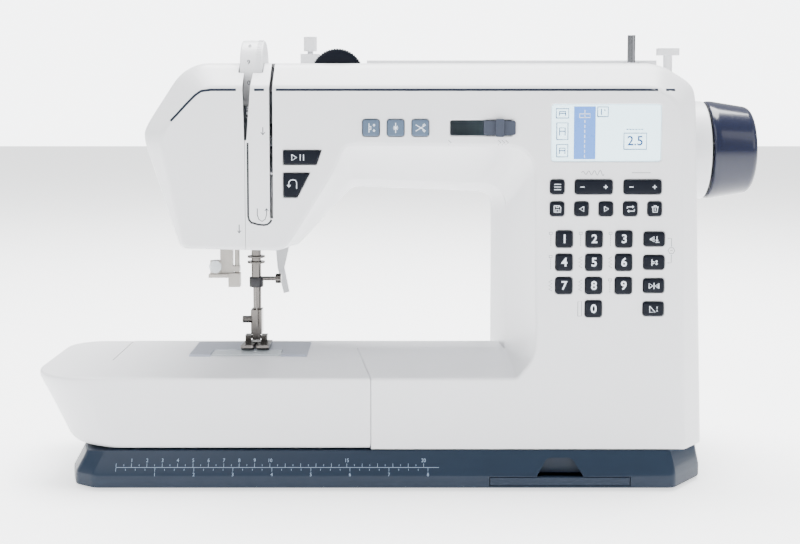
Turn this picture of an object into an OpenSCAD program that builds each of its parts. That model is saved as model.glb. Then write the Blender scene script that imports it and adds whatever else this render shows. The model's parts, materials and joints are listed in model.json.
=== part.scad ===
// Free-arm sewing machine with a keypad panel, a harp space and a slide-on tray.
// +Z is up, the panel faces -Y, and the origin is the centre of the base on the table.

/* [Overall] */
// Width from the tray's left end to the handwheel's outer face
overall_w = 495; // [470:1:600]
// Depth of the base
base_d = 185; // [180:1:225]
// Height of the top of the base pan
base_h = 25; // [22:0.5:32]
// Height of the bed above the table
bed_top = 73; // [70:0.5:90]
// Clear height from the bed to the bottom of the head
head_clear = 82.5; // [80:0.5:100]
// Height from the bed to the top of the arm
arm_rise = 205; // [200:1:246]

/* [Body] */
// Width of the tower on the right
tower_w = 126; // [120:1:152]
// Distance from the tower's inner wall to the needle
reach = 174; // [165:1:210]
// Wall thickness of the moulded covers
wall = 3; // [2.4:0.1:3.6]
// Distance from the base's front edge back to the front cover's face
front_setback = 8; // [6:0.5:10]
// Distance from the base's back edge to the rear cover's face
rear_setback = 13.5; // [11:0.5:16]
// Gap between the halves of the casing
seam = 0.4; // [0.3:0.1:0.6]

/* [Drive] */
// Width of the handwheel
wheel_w = 32.5; // [28:0.5:39]
// Radius of the handwheel at its inner rim
wheel_r = 35; // [30:0.5:36]
// Length of the collar between the tower and the handwheel
collar_l = 22; // [18:0.5:26]
// Radius of the main shaft
shaft_r = 6; // [5:0.1:7.2]
// Radial clearance of shafts and bars in their bearings
running_gap = 0.05; // [0.02:0.01:0.08]
// Radius of the motor body
motor_r = 25; // [21:0.5:30]

/* [Needle area] */
// Radius of the needle bar
needle_bar_r = 3.5; // [3:0.1:4.2]
// Radius of the presser bar
presser_bar_r = 3; // [2.5:0.1:3.6]
// Stroke of the needle bar
stroke = 31; // [26:0.5:34]
// Width of the needle plate
plate_w = 83; // [76:1:92]
// Depth of the needle plate
plate_d = 47; // [44:1:50]
// Radius of the bobbin
bobbin_r = 10.2; // [8.5:0.1:11]

/* [Panel] */
// Side of a number key
key_size = 10.6; // [9:0.1:12.4]
// Width of a small square key
small_key = 8.8; // [7.5:0.1:10.4]
// Height that a key stands out of the panel
key_rise = 1.6; // [1.3:0.1:2]
// Gap around a key in the panel
key_gap = 0.4; // [0.3:0.05:0.6]
// Width of the display
screen_w = 70; // [60:1:72]
// Height of the display
screen_h = 36; // [30:1:37]

/* [Base] */
// Width of the reference drawer
drawer_w = 91; // [78:1:108]
// Radius of a rubber foot
foot_r = 9; // [7.5:0.5:10.8]

/* [Hidden] */
$fn = 48;
KEYS = ["key_0", "key_1", "key_2", "key_3", "key_4", "key_5", "key_6", "key_7", "key_8", "key_9",
    "key_left", "key_right", "key_mirror", "key_clear", "key_store", "key_help", "key_tension",
    "key_info", "key_set", "key_menu", "key_width", "key_length", "key_needle", "key_tieoff",
    "key_cut", "start_stop_key", "reverse_key"];

white = "#e9eaec";
navy = "#2b3348";
steel = "#b9bdc4";
dark = "#2a2c31";

// Places along X
left_end = -overall_w / 2;
wheel_out = overall_w / 2;
wheel_in = wheel_out - wheel_w;
side_x = wheel_in - collar_l;          // tower's right wall under the collar
tower_x = side_x - tower_w;            // harp's right wall
needle_x = tower_x - reach;
parting_x = needle_x + 85;             // where the tray and the free arm end
arm_end = left_end + 44.5;             // free end of the free arm
tongue_x = needle_x + 4.3;             // parting line of the head cover
base_left = left_end + 25.5;
base_right = side_x + 5;
// Places along Y
front_y = -base_d / 2 + front_setback;
rear_y = base_d / 2 - rear_setback;
shoulder_y = front_y + 19.5;
needle_y = 10;
split_y = needle_y + 5;
arm_front = -28;                       // free arm's front wall
arm_back = 43;                         // back wall of the bed and of the free arm
// Places along Z
base_floor = 2;
head_z = bed_top + head_clear;
top_z = bed_top + arm_rise;
harp_z = top_z - 54;                   // arm's lower front edge
shaft_z = top_z - 60;
plate_t = 1.5;
plate_z = bed_top + plate_t;

// Outlines run clockwise as seen from the front, each point as [x, z].
outer_front = [
    [needle_x - 36.5, head_z + 2.5], [needle_x - 51.5, top_z - 48.5], [needle_x - 44, top_z - 37.5],
    [needle_x - 25, top_z - 17.5], [needle_x - 17, top_z - 16], [side_x - 30, top_z - 16],
    [side_x - 17, top_z - 25.5], [side_x - 15, top_z - 38], [side_x - 10, base_h + seam]];
outer_side = [
    [needle_x - 41.5, head_z], [needle_x - 66, top_z - 48.5], [needle_x - 63, top_z - 40],
    [needle_x - 41, top_z - 6.5], [needle_x - 28, top_z], [side_x - 26, top_z],
    [side_x - 4, top_z - 13], [side_x - 1, top_z - 22], [side_x + 6, base_h + seam]];
harp_front = [[tower_x + 6.4, bed_top], [tower_x + 18.6, bed_top + 15], [tower_x + 17, harp_z - 10],
    [tower_x + 7, harp_z], [needle_x + 72, harp_z + 1], [needle_x + 67, harp_z - 2],
    [needle_x + 61, harp_z - 17], [needle_x + 33.2, head_z + 6.5], [needle_x + 27, head_z + 1]];
harp_split = [[tower_x + 6.4, bed_top], [tower_x + 7.1, bed_top + 1], [tower_x + 7, harp_z - 40],
    [tower_x - 3, harp_z - 30], [needle_x + 68, harp_z - 27], [needle_x + 63, harp_z - 32],
    [needle_x + 51, harp_z - 47], [needle_x + 31, head_z - 6], [needle_x + 27, head_z - 7]];
harp_rear = [[tower_x + 0.4, bed_top], [tower_x + 0.1, bed_top + 1], [tower_x, harp_z - 46],
    [tower_x - 6, harp_z - 41], [needle_x + 68, harp_z - 37], [needle_x + 63, harp_z - 42],
    [needle_x + 55, harp_z - 50], [needle_x + 28, head_z - 11], [needle_x + 24, head_z - 12]];
// The tray's right end and the bed's left end lean back together
parting_slope = 0.1236;
function parting_at(y) = parting_x - parting_slope * (y - front_y);
function bed_corner(y) = [[parting_at(y), base_h + seam], [parting_at(y), bed_top]];
// Behind the split the tower has a wall of its own down to the base
function tower_corner(dx) = [[tower_x + dx, base_h + seam]];
function above_bed(harp) = [for (i = [1 : len(harp) - 1]) harp[i]];

function mix(a, b, t) = [for (i = [0 : len(a) - 1]) a[i] * (1 - t) + b[i] * t];
function unit(v) = v / norm(v);
function inward(a, b) = let (d = unit(b - a)) [d[1], -d[0]];
function inset(p, t) = let (n = len(p)) [for (i = [0 : n - 1])
    let (u = inward(p[(i + n - 1) % n], p[i]), v = inward(p[i], p[(i + 1) % n]))
    p[i] + (u + v) * t / (1 + u * v)];

shoulder_t = (shoulder_y - front_y) / (split_y - front_y);
front_outline = concat(outer_front, bed_corner(front_y), harp_front);
shoulder_outline = concat(outer_side, bed_corner(shoulder_y), mix(harp_front, harp_split, shoulder_t));
split_outline = concat(outer_side, bed_corner(split_y), harp_split);
rear_shoulder_y = rear_y - 16;
rear_t = (rear_shoulder_y - split_y) / (rear_y - split_y);
rear_start = concat(outer_side, tower_corner(6.4), above_bed(harp_split));
rear_mid = concat(outer_side, tower_corner(6.4 - 6 * rear_t), above_bed(mix(harp_split, harp_rear, rear_t)));
rear_outline = concat(outer_front, tower_corner(0.4), above_bed(harp_rear));

// Skins a row of outlines, each given as [y, outline]
module loft(stations) {
    n = len(stations[0][1]);
    m = len(stations);
    polyhedron(
        points = [for (s = stations) for (p = s[1]) [p[0], s[0], p[1]]],
        faces = concat(
            [[for (i = [0 : n - 1]) i]],
            [[for (i = [n - 1 : -1 : 0]) (m - 1) * n + i]],
            [for (k = [0 : m - 2]) for (i = [0 : n - 1]) let (j = (i + 1) % n)
                [k * n + i, (k + 1) * n + i, (k + 1) * n + j]],
            [for (k = [0 : m - 2]) for (i = [0 : n - 1]) let (j = (i + 1) % n)
                [k * n + i, (k + 1) * n + j, k * n + j]]),
        convexity = 8);
}
module box(lo, hi) { translate(lo) cube(hi - lo); }
module x_rod(x0, x1, r) { translate([x0, 0, 0]) rotate([0, 90, 0]) cylinder(r = r, h = x1 - x0); }
module y_rod(y0, y1, r) { translate([0, y0, 0]) rotate([-90, 0, 0]) cylinder(r = r, h = y1 - y0); }
// Rounded plate in the panel's plane, from y0 to y1
module pad(w, h, r, y0, y1) {
    translate([0, y1, 0]) rotate([90, 0, 0]) linear_extrude(y1 - y0)
        polygon([for (c = [[1, 1, 0], [-1, 1, 90], [-1, -1, 180], [1, -1, 270]]) for (a = [0 : 30 : 90])
            [c[0] * (w / 2 - r) + r * cos(c[2] + a), c[1] * (h / 2 - r) + r * sin(c[2] + a)]]);
}

// Panel keys, each as [name, x, z, width, height]
panel_x = side_x - 94.5;
panel_z = top_z - 80;
key_pitch = 19.3;
row_pitch = 15.2;
small_pitch = 15.75;
small_h = 9;
side_key_w = 13.2;
rocker_w = 24;
rocker_bore = 0.8;
number_z = panel_z - 33.8;
function digit_place(d) = d == 0 ? [1, 3] : [(d - 1) % 3, floor((d - 1) / 3)];
number_keys = [for (d = [0 : 9]) let (p = digit_place(d))
    [KEYS[d], panel_x + 4.8 + p[0] * key_pitch, number_z - p[1] * row_pitch, key_size, key_size]];
side_keys = [for (i = [0 : 3]) [KEYS[10 + i], panel_x + 63, number_z - i * row_pitch, side_key_w, small_h]];
row_keys = [for (i = [0 : 4]) [KEYS[14 + i], panel_x + i * small_pitch, panel_z - 14.2, small_key, small_h]];
menu_key = [KEYS[19], panel_x, panel_z, small_key, small_h];
rocker_keys = [[KEYS[20], panel_x + 23.5, panel_z, rocker_w, small_h],
    [KEYS[21], panel_x + 55, panel_z, rocker_w, small_h]];
function_keys = [for (i = [0 : 2])
    [KEYS[22 + i], needle_x + 85.3 + i * 15.9, top_z - 42, key_size, key_size]];
all_keys = concat(number_keys, side_keys, row_keys, [menu_key], rocker_keys, function_keys);
key_depth = 5;                          // length of a key behind the panel
key_in = 1.4;                           // rounding of a key's corners
// Two cut-off keys by the needle, as [x, z] corners clockwise from the top left
start_key = [[needle_x + 29, top_z - 56.6], [needle_x + 53, top_z - 56.6],
    [needle_x + 50, top_z - 65.4], [needle_x + 29, top_z - 65.4]];
reverse_key = [[needle_x + 29, top_z - 71.2], [needle_x + 45.5, top_z - 71.2],
    [needle_x + 37.5, top_z - 86.6], [needle_x + 29, top_z - 86.6]];
screen_x = panel_x + 31.4;
screen_z = top_z - 45.2;
slider_x = needle_x + 158.4;            // middle of the speed slot
slider_z = top_z - 42;
slider_w = 40.5;
slider_h = 10;
knob_w = 20.6;
module key_solid(k, grow = 0) {
    translate([k[1], 0, k[2]]) pad(k[3] + 2 * grow, k[4] + 2 * grow, key_in + grow,
        front_y - key_rise, front_y + key_depth);
}
// A key that rocks about an upright pin behind the panel's face
module rocker_key(k) {
    difference() {
        key_solid(k);
        translate([k[1], front_y + 1.5, k[2] - small_h]) cylinder(r = rocker_bore, h = 2 * small_h);
    }
}
module cut_key(p, grow = 0) {
    translate([0, front_y + key_depth, 0]) rotate([90, 0, 0]) linear_extrude(key_depth + key_rise)
        polygon(inset(p, -grow));
}

// Dials and fittings on top
dial_x = needle_x + 6.9;
dial_y = front_y + 34.5;
dial_r = 22;
dial_w = 15;
dial_z = top_z - 6.4;
pressure_x = needle_x + 62.5;
pressure_y = front_y + 30;
pressure_r = 17.5;
pressure_z = top_z - 7.5;
winder_x = side_x - 31;
winder_y = needle_y - 2;
winder_r = 2.8;
guide_x = needle_x + 41;
stop_x = side_x - 5;
handle_x0 = parting_x - 5;
handle_x1 = side_x - 10;
handle_y0 = split_y + 7;
handle_pivot_y = handle_y0 + 30;
handle_pivot_z = top_z - 4;
handle_gap = 1;
handle_pin_r = 2;
slot_left = [[needle_x + 2.3, top_z + 5], [needle_x + 9.4, top_z + 5],
    [needle_x + 5.2, top_z - 50], [needle_x + 3.6, top_z - 50]];
slot_right_x = needle_x + 21;
slot_w = 2.2;
lever_pivot = [needle_x + 5, -25, shaft_z + 7];
lever_reach = 54;
lever_rise = 25;                        // angle of the take-up lever at the top of its stroke
switch_pos = [side_x + 1, split_y + 25, base_h + 45];
inlet_pos = [side_x + 4, split_y + 25, base_h + 18];

module full_front() {
    difference() {
        loft([[front_y, front_outline], [shoulder_y, shoulder_outline], [split_y - seam / 2, split_outline]]);
        loft([[front_y + wall, inset(front_outline, wall)], [shoulder_y, inset(shoulder_outline, wall)],
            [split_y + 1, inset(split_outline, wall)]]);
        // Panel openings
        for (k = all_keys) key_solid(k, key_gap);
        cut_key(start_key, key_gap);
        cut_key(reverse_key, key_gap);
        translate([screen_x, 0, screen_z]) pad(screen_w + 0.6, screen_h + 0.6, 1.6, front_y - 1, front_y + wall + 1);
        translate([slider_x, 0, slider_z]) pad(slider_w, slider_h, 1.5, front_y - 1, front_y + wall + 1);
        // Thread channels
        translate([0, front_y + 12, 0]) rotate([90, 0, 0]) linear_extrude(30) polygon(slot_left);
        box([slot_right_x - slot_w / 2, front_y - 1, head_z + 22], [slot_right_x + slot_w / 2, shoulder_y + 6, top_z + 5]);
        // Dials
        box([dial_x - dial_w / 2 - 0.6, dial_y - dial_r - 1, dial_z - 8],
            [dial_x + dial_w / 2 + 0.6, dial_y + dial_r + 1, top_z + 5]);
        box([pressure_x - pressure_r - 0.6, pressure_y - 6.6, pressure_z - 1],
            [pressure_x + pressure_r + 0.6, pressure_y + 6.6, top_z + 5]);
        translate([winder_x, winder_y, top_z - 8]) cylinder(r = 4.5, h = 12);
        // Collar of the handwheel
        translate([0, needle_y, shaft_z]) x_rod(side_x - 30, side_x + 30, wheel_r + 0.3);
        needle_window();
        box([parting_x + 8, front_y + 8, base_h - 1], [side_x - 8, split_y + 2, base_h + 6]);
    }
}
// Opening under the head for the bars
module needle_window() {
    box([needle_x - 36, -12, head_z - 25], [needle_x + 25, 48, head_z + 14]);
}
module front_cover() {
    color(white) difference() {
        full_front();
        box([left_end - 1, front_y - 5, head_z - 30], [tongue_x - 0.15, split_y + 5, top_z + 20]);
    }
}
module head_cover() {
    color(white) intersection() {
        full_front();
        box([left_end - 1, front_y - 5, head_z - 30], [tongue_x - 0.45, split_y + 5, top_z + 20]);
    }
}
// Boxes let into the rear cover: the handle's recess and the mains inlet
handle_lo = [handle_x0 - handle_gap, handle_y0 - handle_gap, top_z - 12];
handle_hi = [handle_x1 + handle_gap, handle_pivot_y + 8, top_z + 5];
inlet_half = 6.5;
inlet_depth = 12;
module rear_cover() {
    pocket = [2.4, 2.4, 2.4];
    color(white) difference() {
        union() {
            difference() {
                union() {
                    loft([[split_y + seam / 2, rear_start], [rear_shoulder_y, rear_mid], [rear_y, rear_outline]]);
                    translate([0, needle_y, shaft_z]) x_rod(side_x - 8, wheel_in - 1.5, wheel_r);
                }
                loft([[split_y - 1, inset(rear_start, wall)], [rear_shoulder_y, inset(rear_mid, wall)],
                    [rear_y - wall, inset(rear_outline, wall)]]);
                translate([0, needle_y, shaft_z]) x_rod(side_x - 9, wheel_in - 4.5, wheel_r - wall);
                needle_window();
                translate(switch_pos) cube([20, 16.6, 23.6], center = true);
                // Ways through for the frame's column and its lower arm
                box([column_x - 1, split_y - 1, base_h - 1], [side_x - 8, rear_y - 8, base_h + 6]);
                box([tower_x - 2, split_y - 2, base_h - 2], [tower_x + 14, arm_back - wall, bed_top - wall]);
            }
            box(handle_lo - pocket, [handle_hi[0] + 2.4, handle_hi[1] + 2.4, top_z - 1]);
            translate(inlet_pos - [inlet_depth, inlet_half + 2, inlet_half + 2])
                cube([inlet_depth + 2, 2 * inlet_half + 4, 2 * inlet_half + 4]);
        }
        box(handle_lo, handle_hi);
        translate([0, handle_pivot_y, handle_pivot_z])
            x_rod(handle_x0 - 3.2, handle_x1 + 3.2, handle_pin_r + running_gap);
        translate([0, needle_y, shaft_z]) x_rod(side_x, wheel_in, shaft_r + 2);
        translate(inlet_pos - [inlet_depth - 2, inlet_half, inlet_half])
            cube([inlet_depth + 12, 2 * inlet_half, 2 * inlet_half]);
    }
}
// Bed behind the split, between the free arm and the tower
sleeve_gap = 11;                        // clear height under the free arm
module bed_shell(x0, x1, z0) {
    difference() {
        box([x0, arm_front + seam, z0], [x1, arm_back, bed_top]);
        box([x0 + wall, arm_front + seam + wall, z0 + wall], [x1 + 1, arm_back - wall, bed_top - wall]);
    }
}
hook_y = -8;
hook_r = 15.5;
plate_x0 = needle_x - 45;
plate_y0 = needle_y - 26;
module free_arm() {
    back_slope = 6 / (rear_y - split_y);
    color(white) difference() {
        union() {
            bed_shell(arm_end, parting_at(split_y) - 1, base_h + sleeve_gap);
            bed_shell(parting_at(split_y) - 2, tower_x + 8, base_h + seam);
        }
        // The bed in front of the split is the front cover's
        translate([0, 0, base_h]) linear_extrude(bed_top) polygon([
            [parting_at(arm_front - 5) - 0.3, arm_front - 5], [parting_at(split_y) - 0.3, split_y + seam],
            [tower_x + 30, split_y + seam], [tower_x + 30, arm_front - 5]]);
        // The end follows the tower's wall
        translate([0, 0, base_h]) linear_extrude(bed_top) polygon([
            [tower_x + 6.1, split_y - 1], [tower_x + 6.1 - back_slope * (arm_back + 2 - split_y), arm_back + 1],
            [tower_x + 30, arm_back + 1], [tower_x + 30, split_y - 1]]);
        // Passage between the arm and the bed, and the well under the needle plate
        box([parting_at(split_y) - 6, split_y + 2, base_h + sleeve_gap + wall],
            [parting_at(split_y) + 6, arm_back - wall, bed_top - wall]);
        box([plate_x0 + 4, plate_y0 + 4, bed_top - 10], [plate_x0 + plate_w - 4, plate_y0 + plate_d - 4, bed_top + 5]);
    }
}
tray_left_in = 21;                      // how far the tray's end leans in at its foot
storage_in = 8;                         // storage starts this far right of the arm's end
module tray_plan(left) {
    hull() {
        translate([left + 40, front_y + 40]) circle(r = 40, $fn = 64);
        translate([left + 24, arm_back - 24]) circle(r = 24, $fn = 48);
        polygon([[parting_x - 0.3, front_y], [parting_at(arm_back) - 0.3, arm_back],
            [parting_x - 60, arm_back], [parting_x - 60, front_y]]);
    }
}
module accessory_tray() {
    color(white) difference() {
        hull() {
            translate([0, 0, bed_top - 4]) linear_extrude(4) tray_plan(left_end);
            translate([0, 0, base_h + 6]) linear_extrude(1) tray_plan(left_end + tray_left_in - 2);
            translate([0, 0, base_h + 1]) linear_extrude(1) tray_plan(left_end + tray_left_in + 4);
        }
        // Room for the free arm
        box([arm_end - 0.5, arm_front, base_h], [parting_x + 1, arm_back + 30, bed_top + 1]);
        // Storage, open to the back and clear of the rounded corner
        box([arm_end + storage_in, front_y + wall, base_h + 4],
            [parting_at(arm_front) - 4, arm_front + 1, bed_top - wall]);
    }
}
cover_w = 50;
cover_y0 = plate_y0 + 1;
cover_d = 16.5;
dog_w = 2;
dog_l = 17;
dog_xs = [-7.5, -4.6, 5];
module needle_plate() {
    color(steel) difference() {
        box([plate_x0, plate_y0, bed_top], [plate_x0 + plate_w, plate_y0 + plate_d, plate_z]);
        // Opening that the bobbin cover slides over
        box([needle_x - 30, plate_y0 - 1, bed_top - 1], [needle_x - 30 + cover_w, cover_y0 + cover_d + 0.3, plate_z + 1]);
        for (x = dog_xs) box([needle_x + x - dog_w / 2 - 0.4, needle_y - 8, bed_top - 1],
            [needle_x + x + dog_w / 2 + 0.4, needle_y + 14, plate_z + 1]);
        // Needle slot, 7 mm wide for the zigzag swing
        box([needle_x - 3.5, needle_y - 1, bed_top - 1], [needle_x + 3.5, needle_y + 1, plate_z + 1]);
    }
}
module bobbin_cover() {
    color("#dfe8ee", 0.6) box([needle_x - 29.7, cover_y0, bed_top + 0.35],
        [needle_x - 30.3 + cover_w, cover_y0 + cover_d, plate_z]);
}
hook_z0 = bed_top - 26;
module rotary_hook() {
    color(steel) translate([needle_x - 5, hook_y, 0]) {
        difference() {
            translate([0, 0, hook_z0]) cylinder(r = hook_r, h = 19);
            translate([0, 0, hook_z0 + 3]) cylinder(r = hook_r - 2.5, h = 20);
        }
        translate([0, 0, hook_z0 - 7]) cylinder(r = 4, h = 7.5);
    }
}
module bobbin() {
    color("#cfd6de", 0.7) translate([needle_x - 5, hook_y, hook_z0 + 3.5]) difference() {
        union() {
            cylinder(r = bobbin_r, h = 1);
            cylinder(r = bobbin_r * 0.62, h = 11);
            translate([0, 0, 10.5]) cylinder(r = bobbin_r, h = 1);
        }
        translate([0, 0, -1]) cylinder(r = 3, h = 14);
    }
}
module feed_dogs() {
    color(steel) {
        for (x = dog_xs) box([needle_x + x - dog_w / 2, needle_y - 5.5, bed_top - 6],
            [needle_x + x + dog_w / 2, needle_y - 5.5 + dog_l, plate_z - 0.3]);
        box([needle_x - 9, needle_y + 2.5, bed_top - 9], [needle_x + 7, needle_y - 5.5 + dog_l, bed_top - 5]);
    }
}

// Cast frame: column, spine, bearings and head block
spine_y = 30;
crank_x = needle_x + 12;
presser_y = needle_y + 13;
presser_x = needle_x - 1;
bearing_w = 10;
bearing_xs = [needle_x + 24, side_x - 35];
column_x = side_x - 115;
column_w = 24;
module chassis() {
    color("#8d9299") difference() {
        union() {
            box([column_x, spine_y, base_h - 14], [column_x + column_w, spine_y + 8, top_z - 18]);
            box([column_x - 1, spine_y - 12, base_h - 14], [column_x + column_w + 3, spine_y + 18, base_h - 8]);
            box([needle_x - 14, spine_y, shaft_z - 12], [side_x - 25, spine_y + 8, top_z - 18]);
            for (x = bearing_xs) box([x - bearing_w / 2, needle_y - 13, shaft_z - 12],
                [x + bearing_w / 2, spine_y + 1, shaft_z + 12]);
            // Head block with the guides of both bars
            for (z = [head_z + 15, head_z + 34]) box([needle_x - 10, needle_y - 8, z], [needle_x + 8, spine_y + 8, z + 8]);
            box([needle_x - 10, spine_y, head_z + 15], [needle_x + 8, spine_y + 8, top_z - 18]);
            // Stub of the take-up lever
            box([bearing_xs[0] - bearing_w / 2, lever_pivot[1] - 6, lever_pivot[2] - 6],
                [bearing_xs[0] + bearing_w / 2, needle_y - 12, lever_pivot[2] + 5]);
            translate([0, lever_pivot[1], lever_pivot[2]]) x_rod(lever_pivot[0] - 2.4, bearing_xs[0], 3);
            // Bearing of the bobbin winder
            box([winder_x - 6, winder_y - 6, top_z - 26], [winder_x + 6, spine_y + 8, top_z - 16]);
            // Lower arm and hook bearing
            box([needle_x - 12, 18, hook_z0 - 7.5], [column_x + 5, 36, hook_z0 - 1]);
            box([needle_x - 13, hook_y - 10, hook_z0 - 7.5], [needle_x + 3, 20, hook_z0 - 1]);
        }
        for (x = bearing_xs) translate([0, needle_y, shaft_z]) x_rod(x - 9, x + 9, shaft_r + running_gap);
        translate([needle_x, needle_y, head_z]) cylinder(r = needle_bar_r + running_gap, h = 60);
        translate([presser_x, presser_y, head_z]) cylinder(r = presser_bar_r + running_gap, h = 60);
        translate([needle_x - 5, hook_y, base_h]) cylinder(r = 4 + running_gap, h = 25);
        translate([winder_x, winder_y, top_z - 30]) cylinder(r = winder_r + running_gap, h = 25);
    }
}
pulley_x = side_x - 20;
pulley_w = 7;
big_pulley_r = 20;
small_pulley_r = 8;
motor_y = spine_y + 20;
motor_z = base_h + 55;
module main_shaft() {
    color(steel) translate([0, needle_y, shaft_z]) {
        x_rod(crank_x, wheel_in + 10, shaft_r);
        x_rod(crank_x - 3, crank_x + 2, stroke / 2 + 3.5);
        translate([0, 0, stroke / 2]) x_rod(crank_x - 7, crank_x - 2, 2.5);
        x_rod(pulley_x, pulley_x + pulley_w, big_pulley_r);
    }
}
module handwheel() {
    color(navy) translate([0, needle_y, shaft_z]) difference() {
        translate([wheel_in, 0, 0]) rotate([0, 90, 0]) rotate_extrude($fn = 96)
            polygon([[0, 4], [wheel_r - 5, 4], [wheel_r - 4, 0], [wheel_r, 0], [wheel_r, 4],
                [wheel_r - 4, wheel_w - 4], [wheel_r - 6, wheel_w - 1.5], [wheel_r - 10, wheel_w - 0.5],
                [wheel_r - 14, wheel_w], [0, wheel_w]]);
        x_rod(wheel_in - 1, wheel_in + 10, shaft_r);
    }
}
module belt_line(x0, w, grow) {
    translate([x0, 0, 0]) rotate([90, 0, 90]) linear_extrude(w) hull() {
        translate([needle_y, shaft_z]) circle(r = big_pulley_r + grow);
        translate([motor_y, motor_z]) circle(r = small_pulley_r + grow);
    }
}
module drive_belt() {
    color(dark) difference() {
        belt_line(pulley_x + 1, pulley_w - 2, 2.3);
        belt_line(pulley_x, pulley_w, 0.35);
    }
}
module motor() {
    color("#6d7178") translate([0, motor_y, motor_z]) difference() {
        union() {
            x_rod(side_x - 85, side_x - 33, motor_r);
            x_rod(side_x - 33, side_x - 28, 10);
            translate([side_x - 80, -16, base_h - 14 - motor_z]) cube([40, 30, motor_z - base_h + 14 - motor_r + 3]);
        }
        x_rod(side_x - 60, side_x - 20, 3 + running_gap);
    }
}
module motor_pulley() {
    color(steel) translate([0, motor_y, motor_z]) {
        x_rod(side_x - 50, pulley_x + pulley_w, 3);
        x_rod(pulley_x, pulley_x + pulley_w, small_pulley_r);
    }
}
bar_foot = bed_top + 49;
module needle_bar() {
    color(steel) translate([needle_x, needle_y, 0]) {
        translate([0, 0, bar_foot]) cylinder(r = needle_bar_r, h = head_z + 80 - bar_foot);
        translate([0, 0, bar_foot - 3]) cylinder(r = needle_bar_r + 1.4, h = 7);
        // Clamp screw
        translate([0, 0, bar_foot + 3]) {
            x_rod(0, 14, 1.5);
            x_rod(14, 18, 3.2);
        }
        // Needle: shank, blade and point
        translate([0, 0, bar_foot - 18]) cylinder(r = 1, h = 16);
        translate([0, 0, bar_foot - 32]) cylinder(r = 0.45, h = 15);
        translate([0, 0, bar_foot - 35]) cylinder(r1 = 0.1, r2 = 0.45, h = 3.01);
    }
}
sole_t = 2.2;
sole_gap = 0.4;
ankle_z = plate_z + sole_gap + 6;
module presser_bar() {
    color(steel) {
        translate([presser_x, presser_y, ankle_z + 8]) cylinder(r = presser_bar_r, h = head_z + 78 - ankle_z);
        box([presser_x - 4, needle_y + 5.6, ankle_z + 2.2], [presser_x + 4, presser_y + 4, ankle_z + 20]);
        difference() {
            box([presser_x - 3, needle_y + 5.6, ankle_z - 2], [presser_x + 3, needle_y + 10.5, ankle_z + 4]);
            translate([0, foot_pivot_y, ankle_z]) x_rod(presser_x - 5, presser_x + 5, 1.2 + running_gap);
        }
        translate([0, presser_y - 6, ankle_z + 13]) x_rod(presser_x - 10, presser_x - 3, 2.6);
    }
}
foot_pivot_y = needle_y + 8;
module presser_foot() {
    z0 = plate_z + sole_gap;
    color("#9aa0a8") {
        difference() {
            translate([needle_x, 0, 0]) rotate([90, 0, 90]) translate([0, 0, -10]) linear_extrude(20)
                polygon([[needle_y - 15, z0 + 2], [needle_y - 11, z0], [foot_pivot_y + 2, z0],
                    [foot_pivot_y + 7, z0 + 0.7], [foot_pivot_y + 7, z0 + sole_t], [needle_y - 14, z0 + sole_t + 1.5]]);
            // Slot for the needle, open to the front between the toes
            box([needle_x - 3.6, needle_y - 3, z0 - 1], [needle_x + 3.6, needle_y + 3, z0 + 6]);
            box([needle_x - 1.2, needle_y - 20, z0 - 1], [needle_x + 1.2, needle_y, z0 + 6]);
        }
        // Cheeks that hold the cross pin
        for (x = [-8, 3.6]) box([needle_x - 1 + x, foot_pivot_y - 4, z0 + 1], [needle_x - 1 + x + 4.4, foot_pivot_y + 4, z0 + 7.6]);
        translate([0, foot_pivot_y, ankle_z]) x_rod(presser_x - 5, presser_x + 5, 1.2);
    }
}
lifter_pos = [needle_x + 17, needle_y + 26, head_z - 4];
module presser_lifter() {
    color("#d8dadd") translate(lifter_pos) {
        y_rod(-3, 3, 6);
        rotate([90, 0, 0]) translate([0, 0, -2]) linear_extrude(4)
            polygon([[-5.5, -2], [5.5, -2], [1, -22], [4.5, -40], [0.5, -41], [-4, -22]]);
    }
}
module take_up_lever() {
    color(steel) translate(lever_pivot) rotate([-lever_rise, 0, 0]) difference() {
        union() {
            x_rod(-2, 1.6, 6);
            box([-1.2, -lever_reach + 4, -2.5], [1.2, 0, 2.5]);
            translate([0, -lever_reach + 4, 0]) x_rod(-1.2, 1.2, 4);
        }
        translate([0, -lever_reach + 4, 0]) x_rod(-3, 3, 1.8);
        x_rod(-3, 3, 3 + running_gap);
    }
}
threader_x = needle_x - 14;
module needle_threader() {
    color("#b8a58c") {
        translate([threader_x, needle_y + 2, bar_foot + 6]) cylinder(r = 1.8, h = head_z - bar_foot + 30);
        box([threader_x - 12, needle_y - 1, bar_foot + 6], [threader_x - 3, needle_y + 5, head_z + 4]);
        box([threader_x - 12, needle_y - 1, bar_foot + 8], [threader_x + 2, needle_y + 5, bar_foot + 12]);
        box([threader_x - 20, needle_y - 5, bar_foot + 4], [threader_x - 6, needle_y + 3, bar_foot + 6.5]);
        translate([threader_x - 15, needle_y + 1, bar_foot + 6]) cylinder(r = 4.5, h = 10);
        box([threader_x - 6, needle_y - 3, bar_foot - 3], [threader_x + 2.4, needle_y + 5, bar_foot + 7]);
    }
}
module tension_dial() {
    color(white) translate([0, dial_y, dial_z]) x_rod(dial_x - dial_w / 2, dial_x + dial_w / 2, dial_r, $fn = 96);
}
module pressure_dial() {
    color(navy) translate([pressure_x, 0, pressure_z]) y_rod(pressure_y - 6, pressure_y + 6, pressure_r, $fn = 96);
}
module winder_spindle() {
    color(steel) translate([winder_x, winder_y, 0]) {
        translate([0, 0, top_z - 26]) cylinder(r = winder_r, h = 48);
        translate([0, 0, top_z + 0.6]) cylinder(r = 6, h = 1.6);
    }
}
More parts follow.
